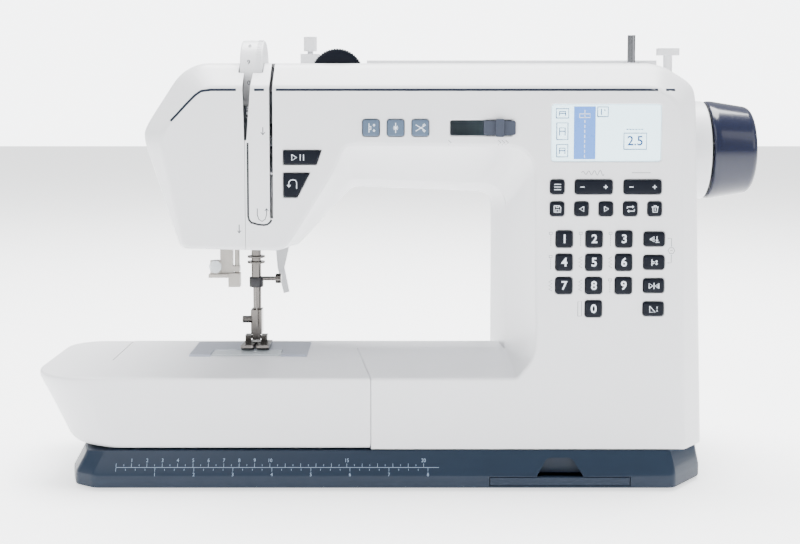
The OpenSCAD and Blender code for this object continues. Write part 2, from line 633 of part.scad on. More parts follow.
module winder_fittings() {
    color(white) {
        // Pretension guide of the bobbin winder
        box([guide_x - 6.5, -11, top_z], [guide_x + 6.5, 1, top_z + 8]);
        translate([guide_x, -5, top_z + 8]) cylinder(r = 2, h = 6);
        translate([guide_x, -5, top_z + 10]) cylinder(r = 4.6, h = 10);
        // Stop of the bobbin winder
        translate([stop_x, winder_y, top_z - 12.4]) cylinder(r = 3.2, h = 21);
        box([stop_x - 7.5, winder_y - 4, top_z + 7.6], [stop_x + 7.5, winder_y + 4, top_z + 12.6]);
    }
}
handle_t = 7.5;
module carry_handle() {
    color(white) {
        box([handle_x0, handle_y0, top_z - 3], [handle_x1, handle_y0 + 20, top_z - 3 + handle_t]);
        for (x = [handle_x0, handle_x1 - 12]) {
            box([x, handle_y0 + 19, top_z - 3], [x + 12, handle_pivot_y, top_z + 1.5]);
            translate([x, handle_pivot_y, handle_pivot_z]) x_rod(0, 12, 5);
        }
        translate([0, handle_pivot_y, handle_pivot_z]) {
            x_rod(handle_x0 - 3, handle_x0 + 1, handle_pin_r);
            x_rod(handle_x1 - 1, handle_x1 + 3, handle_pin_r);
        }
    }
}
module speed_slider() {
    color("#6a7184") translate([slider_x + (slider_w - knob_w) / 2 - 0.3, 0, slider_z]) {
        pad(knob_w, slider_h - 0.8, 1.4, front_y - 1.8, front_y + wall);
        pad(knob_w - 4, slider_h + 5, 1.4, front_y + wall + 0.4, front_y + wall + 2.4);
        pad(knob_w - 6, slider_h - 2, 1, front_y + wall - 1, front_y + wall + 2);
        pad(5.4, slider_h + 1.6, 1, front_y - 4, front_y - 1);
    }
}
module lcd_screen() {
    color("#d9f0f8") translate([screen_x, 0, screen_z]) {
        pad(screen_w, screen_h, 1.4, front_y + 0.8, front_y + wall + 2);
        // Circuit board with the key contacts behind the display
        pad(screen_w + 6, screen_h + 6, 2, front_y + wall + 2, front_y + wall + 4);
    }
}
module power_switch() {
    color(dark) difference() {
        translate(switch_pos) rotate([0, 4, 0]) translate([-4, -7.7, -11]) cube([7, 15.4, 22]);
        translate([switch_pos[0], 0, switch_pos[2]]) y_rod(split_y, rear_y, rocker_bore);
    }
}
module base_plan() {
    polygon([[base_left + 20, -base_d / 2], [base_right - 23, -base_d / 2], [base_right, -base_d / 2 + 28],
        [base_right, base_d / 2 - 18], [base_right - 18, base_d / 2], [base_left + 20, base_d / 2],
        [base_left + 6, base_d / 2 - 8], [base_left, base_d / 2 - 24], [base_left, -base_d / 2 + 28],
        [base_left + 6, -base_d / 2 + 9]]);
}
drawer_x0 = tower_x - 11.5;
drawer_z = [3.8, 9.2];
drawer_l = 120;
recess_w = 32;
recess_depth = 10.5;
foot_places = [for (x = [base_left + 30, base_right - 30]) for (y = [-1, 1]) [x, y * (base_d / 2 - 28)]];
module base_pan() {
    recess_x = drawer_x0 + drawer_w / 2;
    color(navy) difference() {
        intersection() {
            translate([0, 0, base_floor]) linear_extrude(base_h - base_floor) base_plan();
            translate([base_left - 1, 0, 0]) rotate([90, 0, 90]) linear_extrude(base_right - base_left + 2)
                polygon([[-base_d / 2, base_floor], [-base_d / 2, base_floor + 8.5],
                    [front_y - 0.5, base_h], [base_d / 2 - 6, base_h], [base_d / 2, base_floor + 8.5],
                    [base_d / 2, base_floor]]);
        }
        box([parting_x + 6, front_y + 6, base_h - 14], [base_right - 12, base_d / 2 - 16, base_h + 1]);
        box([drawer_x0 - 0.4, -base_d / 2 - 1, drawer_z[0] - 0.4],
            [drawer_x0 + drawer_w + 0.4, -base_d / 2 + drawer_l + 1, drawer_z[1] + 0.4]);
        translate([recess_x, -base_d / 2 + recess_depth, base_floor + 12.8]) rotate([90, 0, 0]) linear_extrude(recess_depth + 5)
            polygon([[-recess_w / 2, -6], [recess_w / 2, -6], [recess_w / 2 - 8, 6], [-recess_w / 2 + 8, 6]]);
        for (p = foot_places) translate([p[0], p[1], 0]) cylinder(r = foot_r + 0.2, h = base_floor + 2);
    }
}
module rubber_feet() {
    color(dark) for (p = foot_places) translate([p[0], p[1], 0]) cylinder(r = foot_r, h = base_floor + 2);
}
module reference_drawer() {
    color(navy) difference() {
        box([drawer_x0, -base_d / 2, drawer_z[0]], [drawer_x0 + drawer_w, -base_d / 2 + drawer_l, drawer_z[1]]);
        box([drawer_x0 + 3, -base_d / 2 + 4, drawer_z[0] + 1.2],
            [drawer_x0 + drawer_w - 3, -base_d / 2 + drawer_l - 3, drawer_z[1] + 1]);
    }
}

base_pan();
rubber_feet();
reference_drawer();
front_cover();
rear_cover();
head_cover();
free_arm();
accessory_tray();
needle_plate();
bobbin_cover();
rotary_hook();
bobbin();
feed_dogs();
chassis();
main_shaft();
handwheel();
drive_belt();
motor();
motor_pulley();
needle_bar();
presser_bar();
presser_foot();
presser_lifter();
take_up_lever();
needle_threader();
tension_dial();
pressure_dial();
winder_spindle();
winder_fittings();
carry_handle();
speed_slider();
lcd_screen();
power_switch();
for (k = number_keys) color(navy) key_solid(k);
for (k = side_keys) color(navy) key_solid(k);
for (k = row_keys) color(navy) key_solid(k);
for (k = [menu_key]) color(navy) key_solid(k);
for (k = rocker_keys) color(navy) rocker_key(k);
for (k = function_keys) color("#56607a") key_solid(k);
color(navy) cut_key(start_key);  // start_stop_key
color(navy) cut_key(reverse_key);
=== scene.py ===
"""Looks of a free-arm sewing machine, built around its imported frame."""
import json
import math

import bmesh
import bpy
from mathutils import Matrix, Vector
from mathutils.bvhtree import BVHTree

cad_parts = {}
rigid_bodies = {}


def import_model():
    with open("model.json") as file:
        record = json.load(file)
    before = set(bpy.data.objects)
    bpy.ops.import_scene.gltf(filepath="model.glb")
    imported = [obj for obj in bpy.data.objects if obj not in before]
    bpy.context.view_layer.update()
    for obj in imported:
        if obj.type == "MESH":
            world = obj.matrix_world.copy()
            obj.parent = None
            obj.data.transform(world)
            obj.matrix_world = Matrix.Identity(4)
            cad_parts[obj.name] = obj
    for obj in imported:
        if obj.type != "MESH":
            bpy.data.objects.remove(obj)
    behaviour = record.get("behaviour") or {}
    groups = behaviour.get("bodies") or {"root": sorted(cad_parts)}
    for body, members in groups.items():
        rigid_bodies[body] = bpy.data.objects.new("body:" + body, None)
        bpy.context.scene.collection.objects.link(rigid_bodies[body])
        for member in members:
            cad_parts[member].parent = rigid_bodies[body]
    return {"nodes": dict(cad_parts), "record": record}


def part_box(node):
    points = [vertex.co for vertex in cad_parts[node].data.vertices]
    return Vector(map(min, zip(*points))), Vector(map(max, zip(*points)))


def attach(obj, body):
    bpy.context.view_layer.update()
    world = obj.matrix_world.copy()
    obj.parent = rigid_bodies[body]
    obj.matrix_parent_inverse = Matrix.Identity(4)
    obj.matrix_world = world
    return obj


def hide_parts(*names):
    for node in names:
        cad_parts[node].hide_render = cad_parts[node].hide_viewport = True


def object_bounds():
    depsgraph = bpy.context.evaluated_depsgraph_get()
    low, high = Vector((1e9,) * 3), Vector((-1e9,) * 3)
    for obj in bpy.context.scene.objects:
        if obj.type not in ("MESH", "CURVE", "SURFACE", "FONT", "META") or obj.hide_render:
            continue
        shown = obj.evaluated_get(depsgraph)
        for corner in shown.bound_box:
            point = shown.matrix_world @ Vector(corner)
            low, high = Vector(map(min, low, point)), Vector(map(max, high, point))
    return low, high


bl_info = {
    "name": "Sewing machine looks",
    "version": (1, 0, 0),
    "blender": (4, 5, 0),
    "location": "3D View > Sidebar > Sewing",
    "description": "Builds the casing, keys, metal parts and prints of a sewing machine",
    "category": "Object",
}

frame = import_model()
CAD_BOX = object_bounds()
NODES = frame["nodes"]
BODY_OF = {n: b for b, ns in frame["record"]["behaviour"]["bodies"].items() for n in ns}
MM = 0.001


def lo(node):
    """Lowest corner of a frame node."""
    return Vector(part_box(node)[0])


def hi(node):
    """Highest corner of a frame node."""
    return Vector(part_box(node)[1])


def mid(node):
    """Middle of a frame node's box."""
    return (lo(node) + hi(node)) / 2


# Places that the casing's outlines hang on, all from the frame
FRONT = lo("front_cover").y
BACK = hi("rear_cover").y
TOP = hi("front_cover").z
FOOT = lo("front_cover").z
BED = lo("needle_plate").z
NEEDLE = mid("presser_foot").x
SPLIT = (hi("front_cover").y + 0.2 * MM)
WHEEL = lo("handwheel").x
SIDE = WHEEL - 22 * MM
TOWER = SIDE - 126 * MM
PARTING = hi("accessory_tray").x + 0.3 * MM
HEAD = BED + 82.5 * MM
HARP = TOP - 54 * MM
SHAFT = mid("handwheel")
TONGUE = hi("head_cover").x + 0.45 * MM


def at(base_x, base_z, pairs):
    """Points given in millimetres from a base point."""
    return [(base_x + x * MM, base_z + z * MM) for x, z in pairs]


OUTER_FRONT = (at(NEEDLE, HEAD, [(-36.5, 2.5)])
               + at(NEEDLE, TOP, [(-51.5, -48.5), (-44, -37.5), (-25, -17.5), (-17, -16)])
               + at(SIDE, TOP, [(-30, -16), (-17, -25.5), (-15, -38)]) + at(SIDE, FOOT, [(-10, 0)]))
OUTER_SIDE = (at(NEEDLE, HEAD, [(-41.5, 0)]) + at(NEEDLE, TOP, [(-66, -48.5), (-63, -40), (-41, -6.5), (-28, 0)])
              + at(SIDE, TOP, [(-26, 0), (-4, -13), (-1, -22)]) + at(SIDE, FOOT, [(6, 0)]))
HARP_FRONT = (at(TOWER, BED, [(6.4, 0), (18.6, 15)]) + at(TOWER, HARP, [(17, -10), (7, 0)])
              + at(NEEDLE, HARP, [(72, 1), (67, -2), (61, -17)]) + at(NEEDLE, HEAD, [(33.2, 6.5), (27, 1)]))
HARP_SPLIT = (at(TOWER, BED, [(6.4, 0), (7.1, 1)]) + at(TOWER, HARP, [(7, -40), (-3, -30)])
              + at(NEEDLE, HARP, [(68, -27), (63, -32), (51, -47)]) + at(NEEDLE, HEAD, [(31, -6), (27, -7)]))
HARP_REAR = (at(TOWER, BED, [(0.4, 0), (0.1, 1)]) + at(TOWER, HARP, [(0, -46), (-6, -41)])
             + at(NEEDLE, HARP, [(68, -37), (63, -42), (55, -50)]) + at(NEEDLE, HEAD, [(28, -11), (24, -12)]))
SHOULDER = 19.5 * MM
REAR_SHOULDER = 16 * MM
WALL = 3 * MM
PARTING_SLOPE = 0.1236


# ---------------------------------------------------------------- settings

def colour_setting(name, description, default):
    """A colour that a user can change."""
    return bpy.props.FloatVectorProperty(name=name, description=description, subtype="COLOR", size=3, min=0, max=1,
                                         default=default)


def length_setting(name, description, low, high, default):
    """A small length, given in millimetres, that a user can change."""
    return bpy.props.FloatProperty(name=name, description=description, unit="LENGTH", subtype="DISTANCE",
                                   min=low * MM, max=high * MM, default=default * MM)


class CasingSettings(bpy.types.PropertyGroup):
    """Colours and small sizes of the casing"""
    shell_colour: colour_setting("Shell", "Colour of the moulded covers", (0.74, 0.745, 0.765))
    base_colour: colour_setting("Base", "Colour of the base pan", (0.012, 0.021, 0.038))
    wheel_colour: colour_setting("Handwheel", "Colour of the handwheel", (0.004, 0.0065, 0.024))
    edge_round: length_setting("Edge rounding", "Rounding of the covers' front edges", 0.5, 4, 2.4)


class KeySettings(bpy.types.PropertyGroup):
    """Colours and shape of the keys"""
    key_colour: colour_setting("Keys", "Colour of the dark keys", (0.003, 0.0045, 0.009))
    function_colour: colour_setting("Function keys", "Colour of the three keys on the arm", (0.07, 0.105, 0.16))
    crown: length_setting("Crown", "Height of a key's rounded rim", 0.2, 1.4, 0.9)


class PrintSettings(bpy.types.PropertyGroup):
    """Printed lines, digits and symbols"""
    ink_colour: colour_setting("Ink", "Colour of the panel's print", (0.025, 0.03, 0.04))
    ink_thickness: length_setting("Ink thickness", "How far print stands proud", 0.01, 0.2, 0.06)


# ---------------------------------------------------------------- mesh helpers

def linked(name, data):
    """A new object in the scene."""
    obj = bpy.data.objects.new(name, data)
    bpy.context.scene.collection.objects.link(obj)
    return obj


def paint(obj, material):
    """Gives the whole object one material."""
    obj.data.materials.clear()
    obj.data.materials.append(material)


def make_object(name, verts, faces, smooth=True):
    """A mesh object from points and faces."""
    mesh = bpy.data.meshes.new(name)
    mesh.from_pydata([tuple(v) for v in verts], [], faces)
    mesh.validate()
    for poly in mesh.polygons:
        poly.use_smooth = smooth
    return linked(name, mesh)


def evaluated_mesh(obj):
    """The object's mesh with its modifiers applied, which are then removed."""
    bpy.context.view_layer.update()
    graph = bpy.context.evaluated_depsgraph_get()
    mesh = bpy.data.meshes.new_from_object(obj.evaluated_get(graph))
    obj.modifiers.clear()
    old = obj.data
    obj.data = mesh
    mesh.name = old.name
    if old.users == 0:
        bpy.data.meshes.remove(old)
    return obj


def skin(rings, closed_ends=True):
    """Points and faces that join closed rings of the same length."""
    count = len(rings[0])
    verts = [p for ring in rings for p in ring]
    faces = []
    for k in range(len(rings) - 1):
        for i in range(count):
            j = (i + 1) % count
            faces.append((k * count + i, (k + 1) * count + i, (k + 1) * count + j, k * count + j))
    if closed_ends:
        faces.append(tuple(range(count)))
        faces.append(tuple(range(len(verts) - 1, len(verts) - count - 1, -1)))
    return verts, faces


def outward(obj):
    """Merges doubles and turns every face outwards."""
    mesh = bmesh.new()
    mesh.from_mesh(obj.data)
    bmesh.ops.remove_doubles(mesh, verts=mesh.verts, dist=1e-6)
    bmesh.ops.recalc_face_normals(mesh, faces=mesh.faces)
    mesh.to_mesh(obj.data)
    mesh.free()
    return obj


def combine(target, tool, operation="DIFFERENCE"):
    """Cuts or joins with another object, which is used up."""
    mod = target.modifiers.new("cut", "BOOLEAN")
    mod.operation = operation
    mod.solver = "EXACT"
    mod.object = tool
    evaluated_mesh(target)
    bpy.data.objects.remove(tool)
    return target


def join(objs, name):
    """One object from several, keeping their materials."""
    mesh = bmesh.new()
    materials = []
    for obj in objs:
        start = len(mesh.faces)
        mesh.from_mesh(obj.data)
        mesh.faces.ensure_lookup_table()
        slots = [m for m in obj.data.materials] or [None]
        for face in mesh.faces[start:]:
            mat = slots[min(face.material_index, len(slots) - 1)]
            if mat not in materials:
                materials.append(mat)
            face.material_index = materials.index(mat)
        bpy.data.objects.remove(obj)
    data = bpy.data.meshes.new(name)
    mesh.to_mesh(data)
    mesh.free()
    for mat in materials:
        if mat:
            data.materials.append(mat)
    return linked(name, data)


def smooth_by_angle(obj, degrees=32):
    """Smooth shading that keeps edges sharper than the angle."""
    for poly in obj.data.polygons:
        poly.use_smooth = True
    obj.data.set_sharp_from_angle(angle=math.radians(degrees))
    mod = obj.modifiers.new("even normals", "WEIGHTED_NORMAL")
    mod.keep_sharp = True
    return evaluated_mesh(obj)


def box_object(name, low, high):
    """A plain box, used as a cutter."""
    xs, ys, zs = zip(low, high)
    verts = [(x, y, z) for x in xs for y in ys for z in zs]
    faces = [(0, 1, 3, 2), (4, 6, 7, 5), (0, 4, 5, 1), (2, 3, 7, 6), (0, 2, 6, 4), (1, 5, 7, 3)]
    return outward(make_object(name, verts, faces, False))


def drum(start, end, inner, outer):
    """A profile, in millimetres, of a short tube between two places along its axis."""
    return [(a * MM, b * MM) for a, b in ((start, inner), (start, outer), (end, outer), (end, inner))]


def placed(obj, place, axis):
    """Turns a mesh a quarter about an axis and moves it to a place."""
    obj.data.transform(Matrix.Translation(place) @ Matrix.Rotation(math.pi / 2, 4, axis))
    return obj


def softened(node, width=0.5 * MM, segments=3, angle=40, name=None):
    """A copy of a frame node with its hard edges rounded."""
    mesh = bmesh.new()
    mesh.from_mesh(NODES[node].data)
    bmesh.ops.remove_doubles(mesh, verts=mesh.verts, dist=1e-6)
    bmesh.ops.dissolve_limit(mesh, angle_limit=math.radians(0.6), verts=mesh.verts, edges=mesh.edges)
    data = bpy.data.meshes.new(name or node + "_body")
    mesh.to_mesh(data)
    mesh.free()
    obj = linked(name or node + "_body", data)
    mod = obj.modifiers.new("round", "BEVEL")
    mod.width = width
    mod.segments = segments
    mod.limit_method = "ANGLE"
    mod.angle_limit = math.radians(angle)
    mod.use_clamp_overlap = True
    return smooth_by_angle(evaluated_mesh(obj), angle)


def rounded(points, radius, steps=5):
    """An outline whose corners are replaced by soft curves."""
    result = []
    count = len(points)
    for i, corner in enumerate(points):
        corner = Vector(corner)
        before = Vector(points[i - 1]) - corner
        after = Vector(points[(i + 1) % count]) - corner
        reach = radius[i] if isinstance(radius, (list, tuple)) else radius
        start = corner + before.normalized() * min(reach, before.length * 0.48)
        end = corner + after.normalized() * min(reach, after.length * 0.48)
        for s in range(steps + 1):
            t = s / steps
            result.append(start * (1 - t) ** 2 + corner * 2 * t * (1 - t) + end * t ** 2)
    return result


def inset(points, distance):
    """A closed clockwise outline moved inwards, by one distance or one for each side."""
    result = []
    count = len(points)
    steps = distance if isinstance(distance, (list, tuple)) else [distance] * count
    for i in range(count):
        a, b, c = (Vector(points[(i + k) % count]) for k in (-1, 0, 1))
        u, v = (b - a).normalized(), (c - b).normalized()
        n, m = Vector((u.y, -u.x)), Vector((v.y, -v.x))
        near, far, turn = steps[i], steps[(i + 1) % count], n.dot(m)
        if abs(near - far) < 1e-9 or abs(turn) > 0.999:
            result.append(b + (n + m) * (near / (1 + turn)))
        else:
            result.append(b + ((n - m * turn) * near + (m - n * turn) * far) / (1 - turn * turn))
    return result


def blend_points(a, b, t):
    """Points between two outlines."""
    return [Vector(p) * (1 - t) + Vector(q) * t for p, q in zip(a, b)]


def ring_xz(points, y):
    """An outline in the panel's plane, as points in space."""
    return [(p[0], y, p[1]) for p in points]


def ring_xy(points, z):
    """An outline in plan, as points in space."""
    return [(p[0], p[1], z) for p in points]


def turned(name, centre, axis, profile, steps=64):
    """A surface turned about X, Y or Z through a centre; the profile is (along, radius) pairs."""
    a, b, c = {"X": (0, 1, 2), "Y": (1, 2, 0), "Z": (2, 0, 1)}[axis]
    angles = [2 * math.pi * i / steps for i in range(steps)]
    rings = []
    for along, radius in profile:
        ring = [[0.0, 0.0, 0.0] for _ in angles]
        for p, angle in zip(ring, angles):
            p[a] = centre[a] + along
            p[b] = centre[b] + radius * math.cos(angle)
            p[c] = centre[c] + radius * math.sin(angle)
        rings.append(ring)
    return outward(make_object(name, *skin(rings)))


def lathe_x(name, centre, profile, steps=96):
    """A surface turned about an axis along X."""
    return turned(name, centre, "X", profile, steps)


def outline_of(node, axis=1, lowest=True):
    """The outline of a node's flat end, clockwise as seen from the front."""
    points = [v.co for v in NODES[node].data.vertices]
    edge = min(p[axis] for p in points) if lowest else max(p[axis] for p in points)
    flat = {(round(p.x, 6), round(p.z, 6)) for p in points if abs(p[axis] - edge) < 1e-5}
    centre = Vector((sum(p[0] for p in flat), sum(p[1] for p in flat))) / len(flat)
    return sorted(flat, key=lambda p: -math.atan2(p[1] - centre.y, p[0] - centre.x))


def plate(name, outline, y0, y1):
    """A flat plate in the panel's plane."""
    return outward(make_object(name, *skin([ring_xz(outline, y0), ring_xz(outline, y1)]), smooth=False))


def frame_of(x, z, half_w, half_h):
    """A closed rectangle about a point."""
    return [(x - half_w, z - half_h), (x - half_w, z + half_h), (x + half_w, z + half_h), (x + half_w, z - half_h),
            (x - half_w, z - half_h)]


def ribbon(points, width, y, thickness, across=1):
    """A printed line through points (x, z) on the plane y, with faces across its width."""
    rows = []
    count = len(points)
    for i, p in enumerate(points):
        along = (Vector(points[min(i + 1, count - 1)]) - Vector(points[max(i - 1, 0)])).normalized()
        side = Vector((-along.y, along.x)) * (width / 2)
        rows.append([Vector(p) + side * (1 - 2 * k / across) for k in range(across + 1)])
    ring = across + 1
    verts = [(p.x, y - lift, p.y) for row in rows for lift in (thickness, 0) for p in row]
    faces = []
    for i in range(count - 1):
        a, b = 2 * ring * i, 2 * ring * (i + 1)
        for k in range(across):
            faces.append((a + k, a + k + 1, b + k + 1, b + k))
            faces.append((a + ring + k + 1, a + ring + k, b + ring + k, b + ring + k + 1))
        faces.append((a + ring, a, b, b + ring))
        faces.append((a + across, a + ring + across, b + ring + across, b + across))
    last = 2 * ring * (count - 1)
    faces.append(tuple(range(ring)) + tuple(range(2 * ring - 1, ring - 1, -1)))
    faces.append(tuple(last + k for k in list(range(ring - 1, -1, -1)) + list(range(ring, 2 * ring))))
    return verts, faces


def strokes(name, lines, width, y, thickness, material, across=1):
    """Printed lines as one flat object."""
    verts, faces = [], []
    for line in lines:
        v, f = ribbon(line, width, y, thickness, across)
        faces += [tuple(i + len(verts) for i in face) for face in f]
        verts += v
    obj = outward(make_object(name, verts, faces, False))
    obj.data.materials.append(material)
    return obj


def lay(obj, target):
    """Moves a print along Y onto the surface behind it, keeping its own thickness."""
    tree = BVHTree.FromObject(target, bpy.context.evaluated_depsgraph_get())
    for vert in obj.data.vertices:
        hit = tree.ray_cast(Vector((vert.co.x, -1, vert.co.z)), Vector((0, 1, 0)))[0]
        if hit is None:
            raise RuntimeError(obj.name + " reaches past the surface that it is printed on")
        vert.co.y += hit.y
    return obj


def digits(name, text, size, x, y, z, thickness, material, weight=0.0):
    """Generic digits as a flat mesh facing the front."""
    curve = bpy.data.curves.new(name, "FONT")
    curve.body = text
    curve.size = size
    curve.extrude = thickness / 2
    curve.align_x = "CENTER"
    curve.align_y = "CENTER"
    curve.resolution_u = 4
    curve.offset = weight
    text_obj = linked(name, curve)
    bpy.context.view_layer.update()
    graph = bpy.context.evaluated_depsgraph_get()
    mesh = bpy.data.meshes.new_from_object(text_obj.evaluated_get(graph))
    bpy.data.objects.remove(text_obj)
    place = Matrix.Translation((x, y, z)) @ Matrix.Rotation(math.pi / 2, 4, "X")
    mesh.transform(place)
    obj = linked(name, mesh)
    paint(obj, material)
    return obj


def done(obj, body, material=None, nodes=()):
    """Gives a finished piece its material and its body, and hides the frame nodes that it stands for."""
    if material is not None:
        paint(obj, material)
    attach(obj, body)
    if nodes:
        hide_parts(*nodes)
    return obj


# ---------------------------------------------------------------- materials

MATERIALS = {}


def shader(name, colour, roughness, metallic=0.0, coat=0.0, grain=0.0, grain_scale=900.0,
           variation=0.03, roughness_spread=0.08, stretch=None, coat_roughness=0.08, alpha=1.0,
           emission=0.0, specular=0.5):
    """A principled material with fine grain, a little colour variation and uneven gloss."""
    if name in MATERIALS:
        return MATERIALS[name]
    mat = bpy.data.materials.new(name)
    mat.use_nodes = True
    nodes, links = mat.node_tree.nodes, mat.node_tree.links
    out = nodes["Principled BSDF"]

    def add(kind, **values):
        node = nodes.new("ShaderNode" + kind)
        for key, value in values.items():
            node.inputs[key.replace("_", " ")].default_value = value
        return node

    for label, value in (("Metallic", metallic), ("Coat Weight", coat), ("Coat Roughness", coat_roughness),
                         ("Alpha", alpha), ("Specular IOR Level", specular), ("Emission Strength", emission)):
        out.inputs[label].default_value = value
    if emission:
        out.inputs["Emission Color"].default_value = (*colour, 1)
    place, mapping = add("TexCoord"), add("Mapping", Scale=stretch or (1, 1, 1))
    broad, fine = add("TexNoise", Scale=14.0, Detail=3.0), add("TexNoise", Scale=grain_scale, Detail=2.0)
    ramp = add("ValToRGB")
    for element, position, sign in zip(ramp.color_ramp.elements, (0.3, 0.7), (-1, 1)):
        element.position = position
        element.color = tuple(min(1, c * (1 + sign * variation)) for c in colour) + (1,)
    gloss = add("MapRange", To_Min=max(0.02, roughness - roughness_spread), To_Max=min(1, roughness + roughness_spread))
    for start, output, end, into in (
            (place, "Object", mapping, "Vector"), (place, "Object", broad, "Vector"),
            (mapping, "Vector", fine, "Vector"),
            (broad, "Fac", ramp, "Fac"), (ramp, "Color", out, "Base Color"), (fine, "Fac", gloss, "Value"),
            (gloss, "Result", out, "Roughness")):
        links.new(start.outputs[output], end.inputs[into])
    if grain:
        bump = add("Bump", Strength=grain, Distance=0.05 * MM)
        links.new(fine.outputs["Fac"], bump.inputs["Height"])
        links.new(bump.outputs["Normal"], out.inputs["Normal"])
    MATERIALS[name] = mat
    return mat


def shell_plastic():
    """Satin white moulded casing."""
    return shader("shell plastic", bpy.context.scene.sewing_casing.shell_colour, 0.36, grain=0.18,
                  grain_scale=1400, variation=0.012, roughness_spread=0.05)


def base_plastic():
    """Slate blue satin base."""
    return shader("base plastic", bpy.context.scene.sewing_casing.base_colour, 0.34, grain=0.25,
                  grain_scale=1500, variation=0.05, specular=0.2)


def wheel_plastic():
    """Glossy navy handwheel."""
    return shader("wheel plastic", bpy.context.scene.sewing_casing.wheel_colour, 0.2, coat=0.25,
                  grain=0.05, variation=0.06, roughness_spread=0.03, specular=0.35)


def key_plastic():
    """Satin dark key caps."""
    return shader("key plastic", bpy.context.scene.sewing_keys.key_colour, 0.34, grain=0.3,
                  grain_scale=2200, variation=0.08, specular=0.12)


def function_plastic():
    """Blue-grey caps of the function keys."""
    return shader("function plastic", bpy.context.scene.sewing_keys.function_colour, 0.36, grain=0.3,
                  grain_scale=2200, variation=0.06, specular=0.3)


def knob_plastic():
    """Dark slate of the speed knob."""
    return shader("knob plastic", (0.035, 0.042, 0.062), 0.4, grain=0.3, grain_scale=2200, variation=0.06,
                  specular=0.25)


def brushed_steel():
    """Steel with long brush marks."""
    return shader("brushed steel", (0.52, 0.55, 0.64), 0.32, metallic=1.0, grain=0.5, grain_scale=500,
                  stretch=(1, 12, 12), variation=0.05, roughness_spread=0.1)


def polished_steel():
    """Plated shaft, hook, feed dogs and lever."""
    return shader("polished steel", (0.27, 0.275, 0.29), 0.2, metallic=1.0, grain=0.08,
                  grain_scale=700, variation=0.06, roughness_spread=0.06)


def bar_steel():
    """Darker plating of the needle bar, the presser bar and the foot."""
    return shader("bar steel", (0.14, 0.13, 0.122), 0.22, metallic=1.0, grain=0.08, grain_scale=700,
                  stretch=(14, 14, 1), variation=0.3, roughness_spread=0.08)


def dark_steel():
    """Blackened clamp."""
    return shader("dark steel", (0.012, 0.012, 0.015), 0.3, metallic=0.3, grain=0.1, variation=0.1)


def cast_metal():
    """Rough cast frame."""
    return shader("cast metal", (0.42, 0.44, 0.47), 0.5, metallic=0.9, grain=0.9, grain_scale=600, variation=0.1)


def black_plastic():
    """Matt black plastic of the power switch, also used as painted shade on the slot walls and in the thread channel.
    """
    return shader("black plastic and painted shade", (0.012, 0.013, 0.017), 0.45, grain=0.3, variation=0.1)


def soft_rubber():
    """Black rubber."""
    return shader("soft rubber", (0.02, 0.02, 0.022), 0.75, grain=0.6, grain_scale=1200, variation=0.12)


def clear_plastic():
    """Clear bobbin cover and bobbin."""
    return shader("clear plastic", (0.86, 0.92, 0.96), 0.1, grain=0.03, alpha=0.45, variation=0.02,
                  roughness_spread=0.03)


def ink(name="dark ink", colour=None, emission=0.0):
    """Printed ink."""
    return shader(name, colour or bpy.context.scene.sewing_prints.ink_colour, 0.5, grain=0.1,
                  variation=0.06, emission=emission, specular=0.1)


def white_ink():
    """Pale legends."""
    return ink("white ink", (0.7, 0.76, 0.84))


# ---------------------------------------------------------------- casing

def parting_at(y):
    """Where the tray meets the bed at a depth."""
    return PARTING - PARTING_SLOPE * (y - FRONT)


def front_polygons():
    """Outlines of the front half at its face, its shoulder and its back."""
    def bed_corner(y):
        return [(parting_at(y), FOOT), (parting_at(y), BED)]
    part = SHOULDER / (SPLIT - FRONT)
    shoulder_y = FRONT + SHOULDER
    return (OUTER_FRONT + bed_corner(FRONT) + HARP_FRONT,
            OUTER_SIDE + bed_corner(shoulder_y) + blend_points(HARP_FRONT, HARP_SPLIT, part),
            OUTER_SIDE + bed_corner(SPLIT) + HARP_SPLIT)


def rear_polygons():
    """Outlines of the rear half at its face, its shoulder and its front."""
    part = (BACK - REAR_SHOULDER - SPLIT) / (BACK - SPLIT)
    return (OUTER_FRONT + at(TOWER, FOOT, [(0.4, 0)]) + HARP_REAR[1:],
            OUTER_SIDE + at(TOWER, FOOT, [(6.4 - 6 * part, 0)]) + blend_points(HARP_SPLIT, HARP_REAR, part)[1:],
            OUTER_SIDE + at(TOWER, FOOT, [(6.4, 0)]) + HARP_SPLIT[1:])


OUTER_RADII = [4, 12, 9, 9, 6, 9, 9, 8, 0.6]
FRONT_RADII = [r * MM for r in OUTER_RADII + [0.6, 1.4, 2, 12, 9, 9, 6, 6, 9, 7, 5]]
REAR_RADII = [r * MM for r in OUTER_RADII + [0.6, 2, 12, 9, 6, 6, 9, 7, 5]]


def casing_half(name, polygons, radii, y_face, y_shoulder, y_split, edge, tight):
    """One half of the casing, with a rounded face edge and a rounded shoulder."""
    face, shoulder, split = polygons
    way = 1 if y_shoulder > y_face else -1
    rings = []

    def bevel(y):
        return blend_points(face, shoulder, (y - y_face) / (y_shoulder - y_face))

    def wall(y):
        return blend_points(shoulder, split, (y - y_shoulder) / (y_split - y_shoulder))

    for t in (0, 0.2, 0.4, 0.6, 0.8, 1):
        y = y_face + way * edge * t * t
        steps = [(min(edge, tight[i]) if i in tight else edge) * (1 - t) ** 2 for i in range(len(face))]
        rings.append(ring_xz(rounded(inset(bevel(y), steps), radii), y))
    reach = 5 * MM
    ends = bevel(y_shoulder - way * reach), shoulder, wall(y_shoulder + way * reach)
    for t in (0, 0.2, 0.4, 0.6, 0.8, 1):
        weights = (1 - t) ** 2, 2 * t * (1 - t), t * t
        y = y_shoulder + way * reach * (weights[2] - weights[0])
        points = [sum((Vector(end[i]) * w for end, w in zip(ends, weights)), Vector((0, 0)))
                  for i in range(len(face))]
        rings.append(ring_xz(rounded(points, radii), y))
    rings.append(ring_xz(rounded(split, radii), y_split))
    return outward(make_object(name, *skin(rings)))


